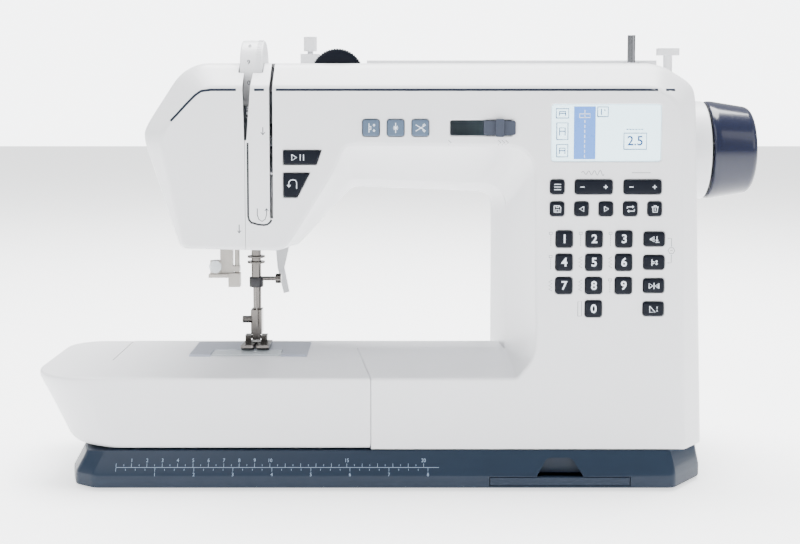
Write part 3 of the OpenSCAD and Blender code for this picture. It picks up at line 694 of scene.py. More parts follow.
def hollow(name, polygons, y_face, y_shoulder, y_open):
    """The space inside one half of the casing."""
    face, shoulder, split = (inset(p, WALL) for p in polygons)
    return outward(make_object(name, *skin([ring_xz(face, y_face), ring_xz(shoulder, y_shoulder),
                                            ring_xz(split, y_open)]), smooth=False))


def opening(outline, gap, flare=0.35 * MM):
    """A cutter for a panel opening, flared at the face."""
    wide, tight = inset(outline, -gap - flare), inset(outline, -gap)
    rings = [ring_xz(wide, FRONT - 1 * MM), ring_xz(wide, FRONT), ring_xz(tight, FRONT + flare),
             ring_xz(tight, FRONT + WALL + 2 * MM)]
    return outward(make_object("opening", *skin(rings), smooth=False))


def rounded_box(name, low, high, radius, axis="Z"):
    """A cutter with rounded corners around one axis."""
    if axis == "Z":
        corners = [(low[0], low[1]), (low[0], high[1]), (high[0], high[1]), (high[0], low[1])]
        rings = [ring_xy(rounded(corners, radius), z) for z in (low[2], high[2])]
    else:
        corners = [(low[0], low[2]), (low[0], high[2]), (high[0], high[2]), (high[0], low[2])]
        rings = [ring_xz(rounded(corners, radius), y) for y in (low[1], high[1])]
    return outward(make_object(name, *skin(rings), smooth=False))


KEY_NODES = [n for n in NODES if n.startswith("key_")] + ["start_stop_key", "reverse_key"]


def panel_cutters():
    """Cutters for the keys, the display and the speed slot."""
    cutters = [opening(outline_of(n), 0.4 * MM) for n in KEY_NODES]
    cutters.append(opening(rounded(display_corners(0), 1.6 * MM), 0.3 * MM, 0.9 * MM))
    knob = lo("speed_slider"), hi("speed_slider")
    right = knob[1].x + 0.3 * MM
    middle = (knob[0].z + knob[1].z) / 2
    slot = [(right - 42.5 * MM, middle - 5 * MM), (right - 42.5 * MM, middle + 5 * MM),
            (right - 2 * MM, middle + 5 * MM), (right - 2 * MM, middle - 5 * MM)]
    cutters.append(opening(rounded(slot, 1.5 * MM), 0, 0.8 * MM))
    return cutters


def display_corners(grow):
    """Corners of the display's glass, clockwise from the bottom left."""
    low, high = lo("lcd_screen"), hi("lcd_screen")
    step = 3 * MM - grow
    return [(low.x + step, low.z + step), (low.x + step, high.z - step),
            (high.x - step, high.z - step), (high.x - step, low.z + step)]


def needle_window():
    """Cutter for the opening under the head."""
    return rounded_box("window", (NEEDLE - 36 * MM, -12 * MM, HEAD - 25 * MM),
                       (NEEDLE + 25 * MM, 48 * MM, HEAD + 14 * MM), 3 * MM)


def line_slots(obj):
    """Paints shade onto the walls of the thread slots and of the speed slot by giving them a dark material."""
    obj.data.materials.append(black_plastic())
    knob = hi("speed_slider").x, mid("speed_slider").z
    places = ((TONGUE - 2.6 * MM, TONGUE + 5.4 * MM, TOP - 51 * MM, TOP + MM),
              (NEEDLE + 19.6 * MM, NEEDLE + 22.4 * MM, HEAD + 21 * MM, TOP + MM),
              (knob[0] - 43 * MM, knob[0] - 1 * MM, knob[1] - 6 * MM, knob[1] + 6 * MM))
    for face in obj.data.polygons:
        c, n = face.center, face.normal
        if abs(n.y) < 0.5 and any(x0 < c.x < x1 and z0 < c.z < z1 for x0, x1, z0, z1 in places) and c.z < TOP - 1 * MM:
            face.material_index = 1


class SEWING_OT_front_casing(bpy.types.Operator):
    """Builds the front cover and the head cover"""
    bl_idname = "sewing.front_casing"
    bl_label = "Front casing"

    def execute(self, context):
        edge = context.scene.sewing_casing.edge_round
        polygons = front_polygons()
        shell = casing_half("front", polygons, FRONT_RADII, FRONT, FRONT + SHOULDER, SPLIT - 0.2 * MM, edge,
                            {9: 0.7 * MM, 10: 0.5 * MM})
        combine(shell, hollow("front room", polygons, FRONT + WALL, FRONT + SHOULDER, SPLIT + 1 * MM))
        for cutter in panel_cutters():
            combine(shell, cutter)
        left = at(NEEDLE, TOP, [(2.3, 5), (9.4, 5), (5.2, -50), (3.6, -50)])
        combine(shell, plate("left slot", left, FRONT - 18 * MM, FRONT + 12 * MM))
        right = NEEDLE + 21 * MM
        combine(shell, box_object("right slot", (right - 1.1 * MM, FRONT - 1 * MM, HEAD + 22 * MM),
                                  (right + 1.1 * MM, FRONT + SHOULDER + 6 * MM, TOP + 5 * MM)))
        dial, pressure, pin = mid("tension_dial"), mid("pressure_dial"), mid("winder_spindle")
        radius, half = hi("tension_dial").y - dial.y, hi("tension_dial").x - dial.x
        combine(shell, rounded_box("dial slot", (dial.x - half - 0.6 * MM, dial.y - radius - 1 * MM, dial.z - 8 * MM),
                                   (dial.x + half + 0.6 * MM, dial.y + radius + 1 * MM, TOP + 5 * MM), 1.2 * MM))
        radius = hi("pressure_dial").x - pressure.x
        side, depth = radius + 0.6 * MM, 6.6 * MM
        combine(shell, rounded_box("pressure slot", (pressure.x - side, pressure.y - depth, pressure.z - MM),
                                   (pressure.x + side, pressure.y + depth, TOP + 5 * MM), 1.2 * MM))
        combine(shell, turned("spindle hole", Vector((pin.x, pin.y, TOP)), "Z",
                              [(-8 * MM, 4.5 * MM), (4 * MM, 4.5 * MM)]))
        combine(shell, lathe_x("collar room", Vector((SIDE, SHAFT.y, SHAFT.z)),
                               [(-30 * MM, 35.3 * MM), (30 * MM, 35.3 * MM)]))
        combine(shell, needle_window())
        combine(shell, box_object("foot", (PARTING + 8 * MM, FRONT + 8 * MM, FOOT - 1.4 * MM),
                                  (SIDE - 8 * MM, SPLIT + 2 * MM, FOOT + 5.6 * MM)))
        head = shell.copy()
        head.data = shell.data.copy()
        context.scene.collection.objects.link(head)
        far, low = CAD_BOX[0][0] - 0.01, HEAD - 30 * MM
        for obj, gap, operation in ((shell, 0.15 * MM, "DIFFERENCE"), (head, 0.45 * MM, "INTERSECT")):
            combine(obj, box_object("tongue", (far, FRONT - 5 * MM, low),
                                    (TONGUE - gap, SPLIT + 5 * MM, TOP + 20 * MM)),
                    operation)
        for obj, node in ((shell, "front_cover"), (head, "head_cover")):
            obj.name = node + "_shell"
            smooth_by_angle(outward(obj), 33)
            done(obj, BODY_OF[node], shell_plastic(), [node])
            # Painted shade: the walls of the thread slots and the speed slot are made dark.
            line_slots(obj)
        return {"FINISHED"}


class SEWING_OT_rear_casing(bpy.types.Operator):
    """Builds the rear cover with the handwheel's collar and the handle's recess"""
    bl_idname = "sewing.rear_casing"
    bl_label = "Rear casing"

    def execute(self, context):
        edge = context.scene.sewing_casing.edge_round
        polygons = rear_polygons()
        shell = casing_half("rear", polygons, REAR_RADII, BACK, BACK - REAR_SHOULDER, SPLIT + 0.2 * MM, edge,
                            {9: 0.7 * MM})
        axle = Vector((SIDE, SHAFT.y, SHAFT.z))
        combine(shell, lathe_x("collar", axle, [(-8 * MM, 35 * MM), (19 * MM, 35 * MM), (20 * MM, 34.6 * MM),
                                                (20.5 * MM, 33.6 * MM)]), "UNION")
        combine(shell, hollow("rear room", polygons, BACK - WALL, BACK - REAR_SHOULDER, SPLIT - 1 * MM))
        combine(shell, lathe_x("collar room", axle, [(-9 * MM, 32 * MM), (17.5 * MM, 32 * MM)]))
        combine(shell, needle_window())
        switch = Vector((SIDE + 1 * MM, SPLIT + 25 * MM, FOOT + 44.6 * MM))
        half = Vector((10, 8.3, 11.8)) * MM
        combine(shell, box_object("switch hole", switch - half, switch + half))
        combine(shell, box_object("foot", (SIDE - 116 * MM, SPLIT - 1 * MM, FOOT - 1.4 * MM),
                                  (SIDE - 8 * MM, BACK - 8 * MM, FOOT + 5.6 * MM)))
        combine(shell, box_object("arm way", (TOWER - 2 * MM, SPLIT - 2 * MM, FOOT - 2 * MM),
                                  (TOWER + 14 * MM, 40 * MM, BED - WALL)))
        handle_lo, handle_hi = lo("carry_handle"), hi("carry_handle")
        pocket_lo = Vector((handle_lo.x + 2 * MM, handle_lo.y - 1 * MM, TOP - 12 * MM))
        pocket_hi = Vector((handle_hi.x - 2 * MM, handle_lo.y + 38 * MM, TOP + 5 * MM))
        rim = Vector((2.4, 2.4, 2.4)) * MM
        combine(shell, box_object("pocket", pocket_lo - rim,
                                  (pocket_hi.x + rim.x, pocket_hi.y + rim.y, TOP - 1 * MM)), "UNION")
        inlet = Vector((SIDE + 4 * MM, SPLIT + 25 * MM, FOOT + 17.6 * MM))
        combine(shell, box_object("inlet box", inlet - Vector((12, 8.5, 8.5)) * MM,
                                  inlet + Vector((2, 8.5, 8.5)) * MM), "UNION")
        combine(shell, rounded_box("recess", pocket_lo, pocket_hi, 2.5 * MM))
        pivot = Vector((0, handle_lo.y + 30 * MM, TOP - 4 * MM))
        combine(shell, lathe_x("pivot", pivot, [(pocket_lo.x - 2.2 * MM, 2.05 * MM),
                                                (pocket_hi.x + 2.2 * MM, 2.05 * MM)], 32))
        combine(shell, lathe_x("shaft hole", axle, [(0, 8 * MM), (22 * MM, 8 * MM)], 48))
        combine(shell, box_object("inlet", inlet - Vector((10, 6.5, 6.5)) * MM, inlet + Vector((12, 6.5, 6.5)) * MM))
        shell.name = "rear_cover_shell"
        smooth_by_angle(outward(shell), 33)
        done(shell, "body", shell_plastic(), ["rear_cover"])
        return {"FINISHED"}


# ---------------------------------------------------------------- bed, tray and base

def tray_ring(left, shrink, z):
    """The tray's plan at one height, with its left corners rounded."""
    rear = hi("accessory_tray").y
    right = PARTING - 0.3 * MM
    points = []
    for k in range(17):
        a = math.radians(270 - 90 * k / 16)
        points.append((left + 40 * MM + 40 * MM * math.cos(a), FRONT + 40 * MM + 40 * MM * math.sin(a)))
    for k in range(13):
        a = math.radians(180 - 90 * k / 12)
        points.append((left + 24 * MM + 24 * MM * math.cos(a), rear - 24 * MM + 24 * MM * math.sin(a)))
    points += [(parting_at(rear) - 0.3 * MM, rear), (right, FRONT)]
    steps = [shrink] * len(points)
    steps[-1] = min(shrink, 0.4 * MM)
    return ring_xy(inset(points, steps), z)


class SEWING_OT_bed(bpy.types.Operator):
    """Builds the free arm and the accessory tray around it"""
    bl_idname = "sewing.bed"
    bl_label = "Bed and tray"

    def execute(self, context):
        done(softened("free_arm", 0.35 * MM), "body", shell_plastic(), ["free_arm"])
        low, high = lo("accessory_tray"), hi("accessory_tray")
        left = low.x
        rings = []
        for t in (0, 0.25, 0.5, 0.75, 1):
            rings.append(tray_ring(left + (25 - 6 * t) * MM, 3 * MM * (1 - t) ** 2, low.z + 5 * MM * t * t))
        for t in (0.2, 0.4, 0.6, 0.8, 1):
            z = (low.z + 5 * MM) * (1 - t) + (high.z - 4 * MM) * t
            rings.append(tray_ring(left + 19 * MM * (1 - t) * (1 + 0.06 * t), 0, z))
        edge = 1.8 * MM
        for t in (0, 0.25, 0.5, 0.75, 1):
            rings.append(tray_ring(left, edge * t * t, high.z - edge * (1 - t) ** 2))
        tray = outward(make_object("accessory_tray_body", *skin(rings)))
        arm_left = lo("free_arm").x
        combine(tray, box_object("arm room", (arm_left - 0.5 * MM, lo("free_arm").y - 0.4 * MM, low.z - 1 * MM),
                                 (high.x + 1 * MM, high.y + 30 * MM, high.z + 1 * MM)))
        combine(tray, box_object("storage", (arm_left + 8 * MM, FRONT + WALL, low.z + 3 * MM),
                                 (parting_at(lo("free_arm").y) - 4 * MM, lo("free_arm").y + 1 * MM, high.z - WALL)))
        smooth_by_angle(outward(tray), 33)
        done(tray, "accessory_tray", shell_plastic(), ["accessory_tray"])
        return {"FINISHED"}


def base_ring(z, pull, y_front, y_back, lean=0.0):
    """The base's plan at one height, drawn in at its front and back slopes and its leaning ends."""
    low, high = lo("base_pan"), hi("base_pan")
    left, right = low.x + 8 * MM * lean, high.x - 3 * MM * lean
    plan = [(left + 20 * MM, low.y), (left + 6 * MM, low.y + 9 * MM), (left, low.y + 28 * MM),
            (left, high.y - 24 * MM), (left + 6 * MM, high.y - 8 * MM), (left + 20 * MM, high.y),
            (right - 18 * MM, high.y), (right, high.y - 18 * MM), (right, low.y + 28 * MM), (right - 23 * MM, low.y)]
    points = rounded(inset(plan, pull), 3 * MM, 4)
    return [(p.x, min(max(p.y, y_front), y_back), z) for p in points]


class SEWING_OT_base(bpy.types.Operator):
    """Builds the base pan, its drawer and its feet"""
    bl_idname = "sewing.base"
    bl_label = "Base"

    def execute(self, context):
        low, high = lo("base_pan"), hi("base_pan")
        slope = (FRONT - 0.5 * MM) - low.y
        rings = []
        for t in (0, 0.5, 1):
            rings.append(base_ring(low.z + 1.2 * MM * t * t, 1.2 * MM * (1 - t) ** 2, low.y, high.y))
        for t in (0, 0.06, 0.12, 0.25, 0.4, 0.6, 0.8, 0.93):
            z = low.z + 8 * MM + t * (high.z - low.z - 8 * MM)
            lean = slope * (t ** 1.12)
            rings.append(base_ring(z, 0, low.y + lean, high.y - lean * 0.8, t))
        for t in (0.5, 1):
            rings.append(base_ring(high.z - 0.9 * MM * (1 - t) ** 2, 0.9 * MM * t * t, FRONT - (0.9 - 0.6 * t) * MM,
                                   high.y - 6 * MM, 1))
        base = outward(make_object("base_pan_body", *skin(rings)))
        combine(base, box_object("base room", (PARTING + 6 * MM, FRONT + 6 * MM, high.z - 14 * MM),
                                 (high.x - 24 * MM, high.y - 16 * MM, high.z + 1 * MM)))
        drawer_lo, drawer_hi = lo("reference_drawer"), hi("reference_drawer")
        gap = Vector((0.4, 0, 0.4)) * MM
        combine(base, box_object("drawer room", drawer_lo - gap - Vector((0, 1 * MM, 0)),
                                 drawer_hi + gap + Vector((0, 1 * MM, 0))))
        middle = (drawer_lo.x + drawer_hi.x) / 2
        finger = [(middle - 16 * MM, low.z + 6.8 * MM), (middle - 8 * MM, low.z + 18.8 * MM),
                  (middle + 8 * MM, low.z + 18.8 * MM), (middle + 16 * MM, low.z + 6.8 * MM)]
        combine(base, plate("finger", rounded(finger, 2.5 * MM), low.y - 5 * MM, low.y + 10.5 * MM))
        for x in (low.x + 30 * MM, high.x - 30 * MM):
            for y in (low.y + 28 * MM, high.y - 28 * MM):
                combine(base, turned("foot hole", Vector((x, y, 0)), "Z",
                                     [(-MM, 9.2 * MM), (low.z + 2 * MM, 9.2 * MM)]))
        smooth_by_angle(outward(base), 33)
        done(base, "body", base_plastic(), ["base_pan"])
        done(softened("rubber_feet", 0.7 * MM), "body", soft_rubber(), ["rubber_feet"])
        done(softened("reference_drawer", 0.4 * MM), "reference_drawer", base_plastic(),
             ["reference_drawer"])
        return {"FINISHED"}


# ---------------------------------------------------------------- turned and moving parts

def soft_profile(points, reach, steps=5):
    """An open profile whose inner corners are softened."""
    result = [Vector(points[0])]
    for a, b, c in zip(points, points[1:], points[2:]):
        a, b, c = Vector(a), Vector(b), Vector(c)
        start = b + (a - b).normalized() * min(reach, (a - b).length * 0.48)
        end = b + (c - b).normalized() * min(reach, (c - b).length * 0.48)
        for s in range(steps + 1):
            t = s / steps
            result.append(start * (1 - t) ** 2 + b * 2 * t * (1 - t) + end * t * t)
    result.append(Vector(points[-1]))
    return [(p.x, p.y) for p in result]


class SEWING_OT_handwheel(bpy.types.Operator):
    """Builds the handwheel with its domed face"""
    bl_idname = "sewing.handwheel"
    bl_label = "Handwheel"

    def execute(self, context):
        radius = hi("handwheel").y - SHAFT.y
        width = hi("handwheel").x - WHEEL
        profile = [(4 * MM, 6.05 * MM), (4 * MM, radius - 5 * MM), (0, radius - 4 * MM), (0, radius),
                   (4 * MM, radius), (width - 4 * MM, radius - 4 * MM), (width - 1.5 * MM, radius - 6 * MM),
                   (width - 0.5 * MM, radius - 10 * MM), (width, radius - 14 * MM), (width, 1 * MM)]
        wheel = lathe_x("handwheel_rim", Vector((WHEEL, SHAFT.y, SHAFT.z)), soft_profile(profile, 1.6 * MM), 128)
        combine(wheel, lathe_x("bore", Vector((WHEEL, SHAFT.y, SHAFT.z)), [(-MM, 6.05 * MM), (10 * MM, 6.05 * MM)], 48))
        smooth_by_angle(wheel, 40)
        done(wheel, "drive", wheel_plastic(), ["handwheel"])
        return {"FINISHED"}


def instanced(name, tree, values, material):
    """The plain mesh that a Geometry Nodes tree makes from its named inputs."""
    obj = make_object(name, [(0, 0, 0)], [])
    mod = obj.modifiers.new("repeat", "NODES")
    mod.node_group = tree
    for item in tree.interface.items_tree:
        if item.item_type == "SOCKET" and item.in_out == "INPUT" and item.name in values:
            mod[item.identifier] = values[item.name]
    evaluated_mesh(obj)
    paint(obj, material)
    return obj


def node_group(label, inputs):
    """A Geometry Nodes tree with named inputs, and short ways to add a node and to link sockets."""
    tree = bpy.data.node_groups.new(label, "GeometryNodeTree")
    for name, kind in inputs:
        tree.interface.new_socket(name, in_out="INPUT", socket_type="NodeSocket" + kind)
    tree.interface.new_socket("Geometry", in_out="OUTPUT", socket_type="NodeSocketGeometry")

    def add(kind, operation=None):
        node = tree.nodes.new(kind)
        if operation:
            node.operation = operation
        return node

    def link(*pairs):
        for start, out, end, into in pairs:
            tree.links.new(start.outputs[out], end.inputs[into])

    return tree, add, link


def end_group(add, link, place, material):
    """The tree's last nodes: real geometry in one material."""
    real, coat = add("GeometryNodeRealizeInstances"), add("GeometryNodeSetMaterial")
    coat.inputs["Material"].default_value = material
    link((place, 0, real, 0), (real, 0, coat, "Geometry"), (coat, "Geometry", add("NodeGroupOutput"), "Geometry"))


def ridge_tree(material):
    """Geometry Nodes: ridges standing around a rim in the XY plane."""
    tree, add, link = node_group("ridges around a rim", (("Count", "Int"), ("Radius", "Float"), ("Ridge", "Vector")))
    start, index, angle = add("NodeGroupInput"), add("GeometryNodeInputIndex"), add("ShaderNodeCombineXYZ")
    circle, ridge = add("GeometryNodeMeshCircle"), add("GeometryNodeMeshCube")
    share, turn = add("ShaderNodeMath", "DIVIDE"), add("ShaderNodeMath", "MULTIPLY")
    turn.inputs[1].default_value = 2 * math.pi
    place = add("GeometryNodeInstanceOnPoints")
    link((start, "Count", circle, "Vertices"), (start, "Radius", circle, "Radius"), (start, "Ridge", ridge, "Size"),
         (index, 0, share, 0), (start, "Count", share, 1), (share, 0, turn, 0), (turn, 0, angle, "Z"),
         (circle, "Mesh", place, "Points"), (ridge, "Mesh", place, "Instance"), (angle, 0, place, "Rotation"))
    end_group(add, link, place, material)
    return tree


class SEWING_OT_dials(bpy.types.Operator):
    """Builds the tension dial and the knurled pressure dial"""
    bl_idname = "sewing.dials"
    bl_label = "Dials"

    def execute(self, context):
        dial = mid("tension_dial")
        radius, half = hi("tension_dial").y - dial.y, hi("tension_dial").x - dial.x
        round_off = 1.4 * MM
        profile = [(-half, 2 * MM), (-half, radius - 1 * MM), (-half + 0.8 * MM, radius - 0.25 * MM),
                   (half - 0.8 * MM, radius - 0.25 * MM), (half, radius - 1 * MM), (half, 2 * MM)]
        disc = lathe_x("tension_dial_disc", dial, soft_profile(profile, round_off), 128)
        smooth_by_angle(disc, 40)
        done(disc, "tension_dial", shell_plastic(), ["tension_dial"])
        ribs = instanced("tension_dial_ribs", ridge_tree(shell_plastic()),
                         {"Count": 72, "Radius": radius - 0.3 * MM, "Ridge": (0.6 * MM, 0.7 * MM, 3 * MM)},
                         shell_plastic())
        placed(ribs, (dial.x + half - 2.6 * MM, dial.y, dial.z), "Y")
        done(ribs, "tension_dial")
        marks = []
        for k in range(10):
            turn = Matrix.Rotation(math.radians(36 * k + 18), 4, "X")
            mark = digits("tension_digit", str(k), 4.4 * MM, -1.5 * MM, -radius + 0.22 * MM, 0, 0.08 * MM, ink())
            mark.data.transform(Matrix.Translation(dial) @ turn)
            marks.append(mark)
        done(join(marks, "tension_dial_digits"), "tension_dial")
        pressure = mid("pressure_dial")
        radius, half = hi("pressure_dial").x - pressure.x, hi("pressure_dial").y - pressure.y
        profile = [(-half, 2 * MM), (-half, radius - 2 * MM), (-half + 0.6 * MM, radius - 0.6 * MM),
                   (half - 0.6 * MM, radius - 0.6 * MM), (half, radius - 2 * MM), (half, 2 * MM)]
        disc = turned("pressure_dial_disc", pressure, "Y", soft_profile(profile, 1 * MM), 96)
        smooth_by_angle(disc, 40)
        done(disc, "pressure_dial", key_plastic(), ["pressure_dial"])
        knurls = instanced("pressure_dial_knurls", ridge_tree(key_plastic()),
                           {"Count": 60, "Radius": radius - 0.75 * MM,
                            "Ridge": (1.1 * MM, 0.9 * MM, 2 * half - 1.6 * MM)}, key_plastic())
        placed(knurls, pressure, "X")
        done(knurls, "pressure_dial")
        return {"FINISHED"}


def threader_plastic():
    """Grey-beige plastic of the needle threader."""
    return shader("threader plastic", (0.45, 0.42, 0.38), 0.35, grain=0.2, variation=0.06)


PLAIN_PARTS = (
    # node, edge rounding in mm, slot, finish
    ("needle_plate", 0.25, "steel", brushed_steel), ("bobbin_cover", 0.3, "clear_plastic", clear_plastic),
    ("rotary_hook", 0.4, "steel", polished_steel), ("bobbin", 0.15, "clear_plastic", clear_plastic),
    ("feed_dogs", 0.15, "steel", polished_steel), ("chassis", 1.0, "cast_frame", cast_metal),
    ("main_shaft", 0.5, "steel", polished_steel), ("drive_belt", 0.0, "rubber", soft_rubber),
    ("motor", 1.5, "cast_frame", cast_metal), ("motor_pulley", 0.4, "steel", polished_steel),
    ("needle_bar", 0.25, "chrome", bar_steel), ("presser_bar", 0.35, "chrome", bar_steel),
    ("presser_foot", 0.3, "chrome", bar_steel), ("presser_lifter", 0.6, "white_plastic", shell_plastic),
    ("take_up_lever", 0.4, "chrome", polished_steel), ("needle_threader", 0.4, "bluegrey_plastic", threader_plastic),
    ("winder_spindle", 0.4, "steel", polished_steel), ("winder_fittings", 1.0, "white_plastic", shell_plastic),
    ("carry_handle", 1.6, "white_plastic", shell_plastic), ("speed_slider", 0.5, "bluegrey_plastic", knob_plastic),
    ("power_switch", 0.8, "black_plastic", black_plastic),
)


class SEWING_OT_metal_parts(bpy.types.Operator):
    """Rounds the edges of the frame's metal and small plastic parts and gives them their finishes"""
    bl_idname = "sewing.metal_parts"
    bl_label = "Metal and small parts"

    def execute(self, context):
        for node, width, slot, finish in PLAIN_PARTS:
            piece = softened(node, width * MM) if width else softened(node, 0.05 * MM, 1)
            done(piece, BODY_OF[node], finish(), [node])
        # Blackened clamp with a ribbed head on its screw, and two thread guides that stay below the head
        bar = mid("needle_bar")
        axis = Vector((NEEDLE, bar.y, 0))
        foot = lo("needle_bar").z + 35 * MM
        axis.z = foot
        clamp = turned("needle_clamp", axis, "Z", soft_profile(drum(-3.1, 4.2, 2, 5.1), 0.8 * MM))
        done(clamp, "needle_bar", dark_steel())
        guides = [turned("guide", axis, "Z", soft_profile(drum(z - 0.7, z + 0.7, 2, 6.4), 0.4 * MM)) for z in (15, 19)]
        done(join(guides, "thread_guides"), "body", bar_steel())
        knurls = instanced("clamp_knurls", ridge_tree(bar_steel()), {
            "Count": 18, "Radius": 3.2 * MM, "Ridge": (0.6 * MM, 0.7 * MM, 3.4 * MM)}, bar_steel())
        done(placed(knurls, (NEEDLE + 16 * MM, bar.y, foot + 3 * MM), "Y"), "needle_bar")
        # Clear disc on the side of the needle threader
        corner = lo("needle_threader")
        disc = turned("threader_disc", corner + Vector((5, 0, 15)) * MM, "Y",
                      soft_profile(drum(-0.6, 1, 0.5, 4.6), 0.4 * MM))
        done(disc, "needle_threader", clear_plastic())
        return {"FINISHED"}


# ---------------------------------------------------------------- keys and display

def key_cap(node, crown):
    """A key with a rounded rim and a slightly domed face."""
    outline = outline_of(node)
    low, high = lo(node), hi(node)
    rings = [ring_xz(outline, high.y)]
    for t in (0, 0.25, 0.5, 0.75, 1):
        a = t * math.pi / 2
        rings.append(ring_xz(inset(outline, crown * (1 - math.cos(a))),
                             low.y + 0.1 * MM + crown * (1 - math.sin(a))))
    centre = Vector((sum(p[0] for p in outline), sum(p[1] for p in outline))) / len(outline)
    rim = [Vector(p) for p in inset(outline, crown)]
    for t in (0.25, 0.5, 0.75, 0.95):
        rings.append(ring_xz([p.lerp(centre, t) for p in rim], low.y + 0.1 * MM * (1 - t * (2 - t))))
    return outward(make_object(node + "_cap", *skin(rings)))


class SEWING_OT_keys(bpy.types.Operator):
    """Builds every key cap and its legend"""
    bl_idname = "sewing.keys"
    bl_label = "Keys"

    def execute(self, context):
        settings = context.scene.sewing_keys
        for node in KEY_NODES:
            blue = node in ("key_needle", "key_tieoff", "key_cut")
            cap = smooth_by_angle(key_cap(node, settings.crown), 50)
            done(cap, node,
                 function_plastic() if blue else key_plastic(), [node])
            legend = key_legend(node, cap)
            if legend:
                done(legend, node)
        return {"FINISHED"}


# Legend strokes in millimetres from a key's middle, as lists of (x, z) points
LEGENDS = {
    "key_left": [[(-3, 0), (-0.4, 1.7), (-0.4, -1.7), (-3, 0)], [(-2.2, 0.1), (-0.6, 0.1)], [(1.4, 1.9), (1.4, -1.2)],
                 [(0.6, -0.4), (1.4, -1.4), (2.2, -0.4)], [(0.6, -2), (3, -2)]],
    "key_right": [[(-1.6, 2), (-1.6, -2)], [(-1.6, 0.6), (-0.2, 0.6), (-0.2, -0.6), (-1.6, -0.6)],
                  [(1.4, 1.3), (1.4, -1.3)], [(0.7, 0.6), (1.4, 1.4), (2.1, 0.6)],
                  [(0.7, -0.6), (1.4, -1.4), (2.1, -0.6)]],
    "key_mirror": [[(-3.2, -1.6), (-3.2, 1.6), (-0.7, 0), (-3.2, -1.6)],
                   [(3.2, -1.6), (3.2, 1.6), (0.7, 0), (3.2, -1.6)], [(0, 2), (0, -2)], [(2.6, -0.8), (2.6, 0.8)]],
    "key_clear": [[(-2.6, 2), (-2.6, -2), (1, -2), (-2.6, 2)], [(2.2, 1.6), (2.2, 0.4)], [(2.2, -0.4), (2.2, -1.6)]],
    "key_store": [[(-2.1, 2.1), (-2.1, -2.1), (2.1, -2.1), (2.1, 1.2), (1.2, 2.1), (-2.1, 2.1)],
                  [(-1, -2), (-1, -0.4), (1, -0.4), (1, -2)], [(-0.8, 1.9), (-0.8, 1), (0.8, 1), (0.8, 1.9)]],
    "key_help": [[(1.2, 1.6), (-1.5, 0), (1.2, -1.6), (1.2, 1.6)]],
    "key_tension": [[(-1.2, 1.6), (1.5, 0), (-1.2, -1.6), (-1.2, 1.6)]],
    "key_info": [[(-2.3, 0.2), (-2.3, 1.4), (1.8, 1.4)], [(1, 2.1), (2, 1.4), (1, 0.7)],
                 [(2.3, -0.2), (2.3, -1.4), (-1.8, -1.4)], [(-1, -0.7), (-2, -1.4), (-1, -2.1)]],
    "key_set": [[(-1.6, 1.1), (-1.3, -2.1), (1.3, -2.1), (1.6, 1.1)], [(-2.2, 1.3), (2.2, 1.3)],
                [(-0.7, 1.4), (-0.7, 2.1), (0.7, 2.1), (0.7, 1.4)], [(0, 0.4), (0, -1.3)]],
    "key_menu": [[(-2.2, 1.7), (2.2, 1.7)], [(-2.2, 0), (2.2, 0)], [(-2.2, -1.7), (2.2, -1.7)]],
    "key_width": [[(-8.8, 0), (-6.2, 0)], [(6.2, 0), (8.8, 0)], [(7.5, 1.3), (7.5, -1.3)]],
    "key_length": [[(-8.8, 0), (-6.2, 0)], [(6.2, 0), (8.8, 0)], [(7.5, 1.3), (7.5, -1.3)]],
    "key_needle": [[(-1.2, 3), (-1.2, -3)], [(-1.2, 1), (0, 1), (0, -1), (-1.2, -1)], [(2, 2.4), (2, 0.8)],
                   [(1.3, 1.6), (2, 2.4), (2.7, 1.6)], [(2, -0.8), (2, -2.4)], [(1.3, -1.6), (2, -2.4), (2.7, -1.6)]],
    "key_tieoff": [[(0, 3.2), (0, -3.2)], [(-1.6, 0), (1.6, 0)], [(-1.2, 1.2), (0, 0), (1.2, 1.2)],
                   [(-1.2, -1.2), (0, 0), (1.2, -1.2)]],
    "key_cut": [[(-3, 2), (2, -1)], [(-3, -2), (2, 1)], [(2, 1), (3.2, 1.8), (2.6, 2.6), (1.6, 1.8), (2, 1)],
                [(2, -1), (3.2, -1.8), (2.6, -2.6), (1.6, -1.8), (2, -1)]],
    "start_stop_key": [[(-4.4, 1.9), (-1.2, 0), (-4.4, -1.9), (-4.4, 1.9)], [(1.1, 2), (1.1, -2)],
                       [(3.2, 2), (3.2, -2)]],
    "reverse_key": [[(-2.6, -1), (-2.6, 2), (-1.6, 3.2), (0, 3.6), (1.6, 3.2), (2.4, 2), (2.4, -2.2)],
                    [(-3.7, 0.2), (-2.6, -1.2), (-1.5, 0.2)]],
}


def key_legend(node, cap):
    """The digit or symbol printed on a key."""
    thick = bpy.context.scene.sewing_prints.ink_thickness
    middle = mid(node) - Vector((2.2 * MM if node in ("reverse_key", "start_stop_key") else 0, 0, 0))
    digit = node[4:]
    if digit.isdigit():
        piece = digits(node + "_legend", digit, 7.8 * MM, middle.x, -thick, middle.z, thick, white_ink(), 0.16 * MM)
    else:
        lines = [[(middle.x + x * MM, middle.z + z * MM) for x, z in line] for line in LEGENDS[node]]
        piece = strokes(node + "_legend", lines, 0.5 * MM, -0.5 * thick, thick, white_ink())
    return lay(piece, cap)


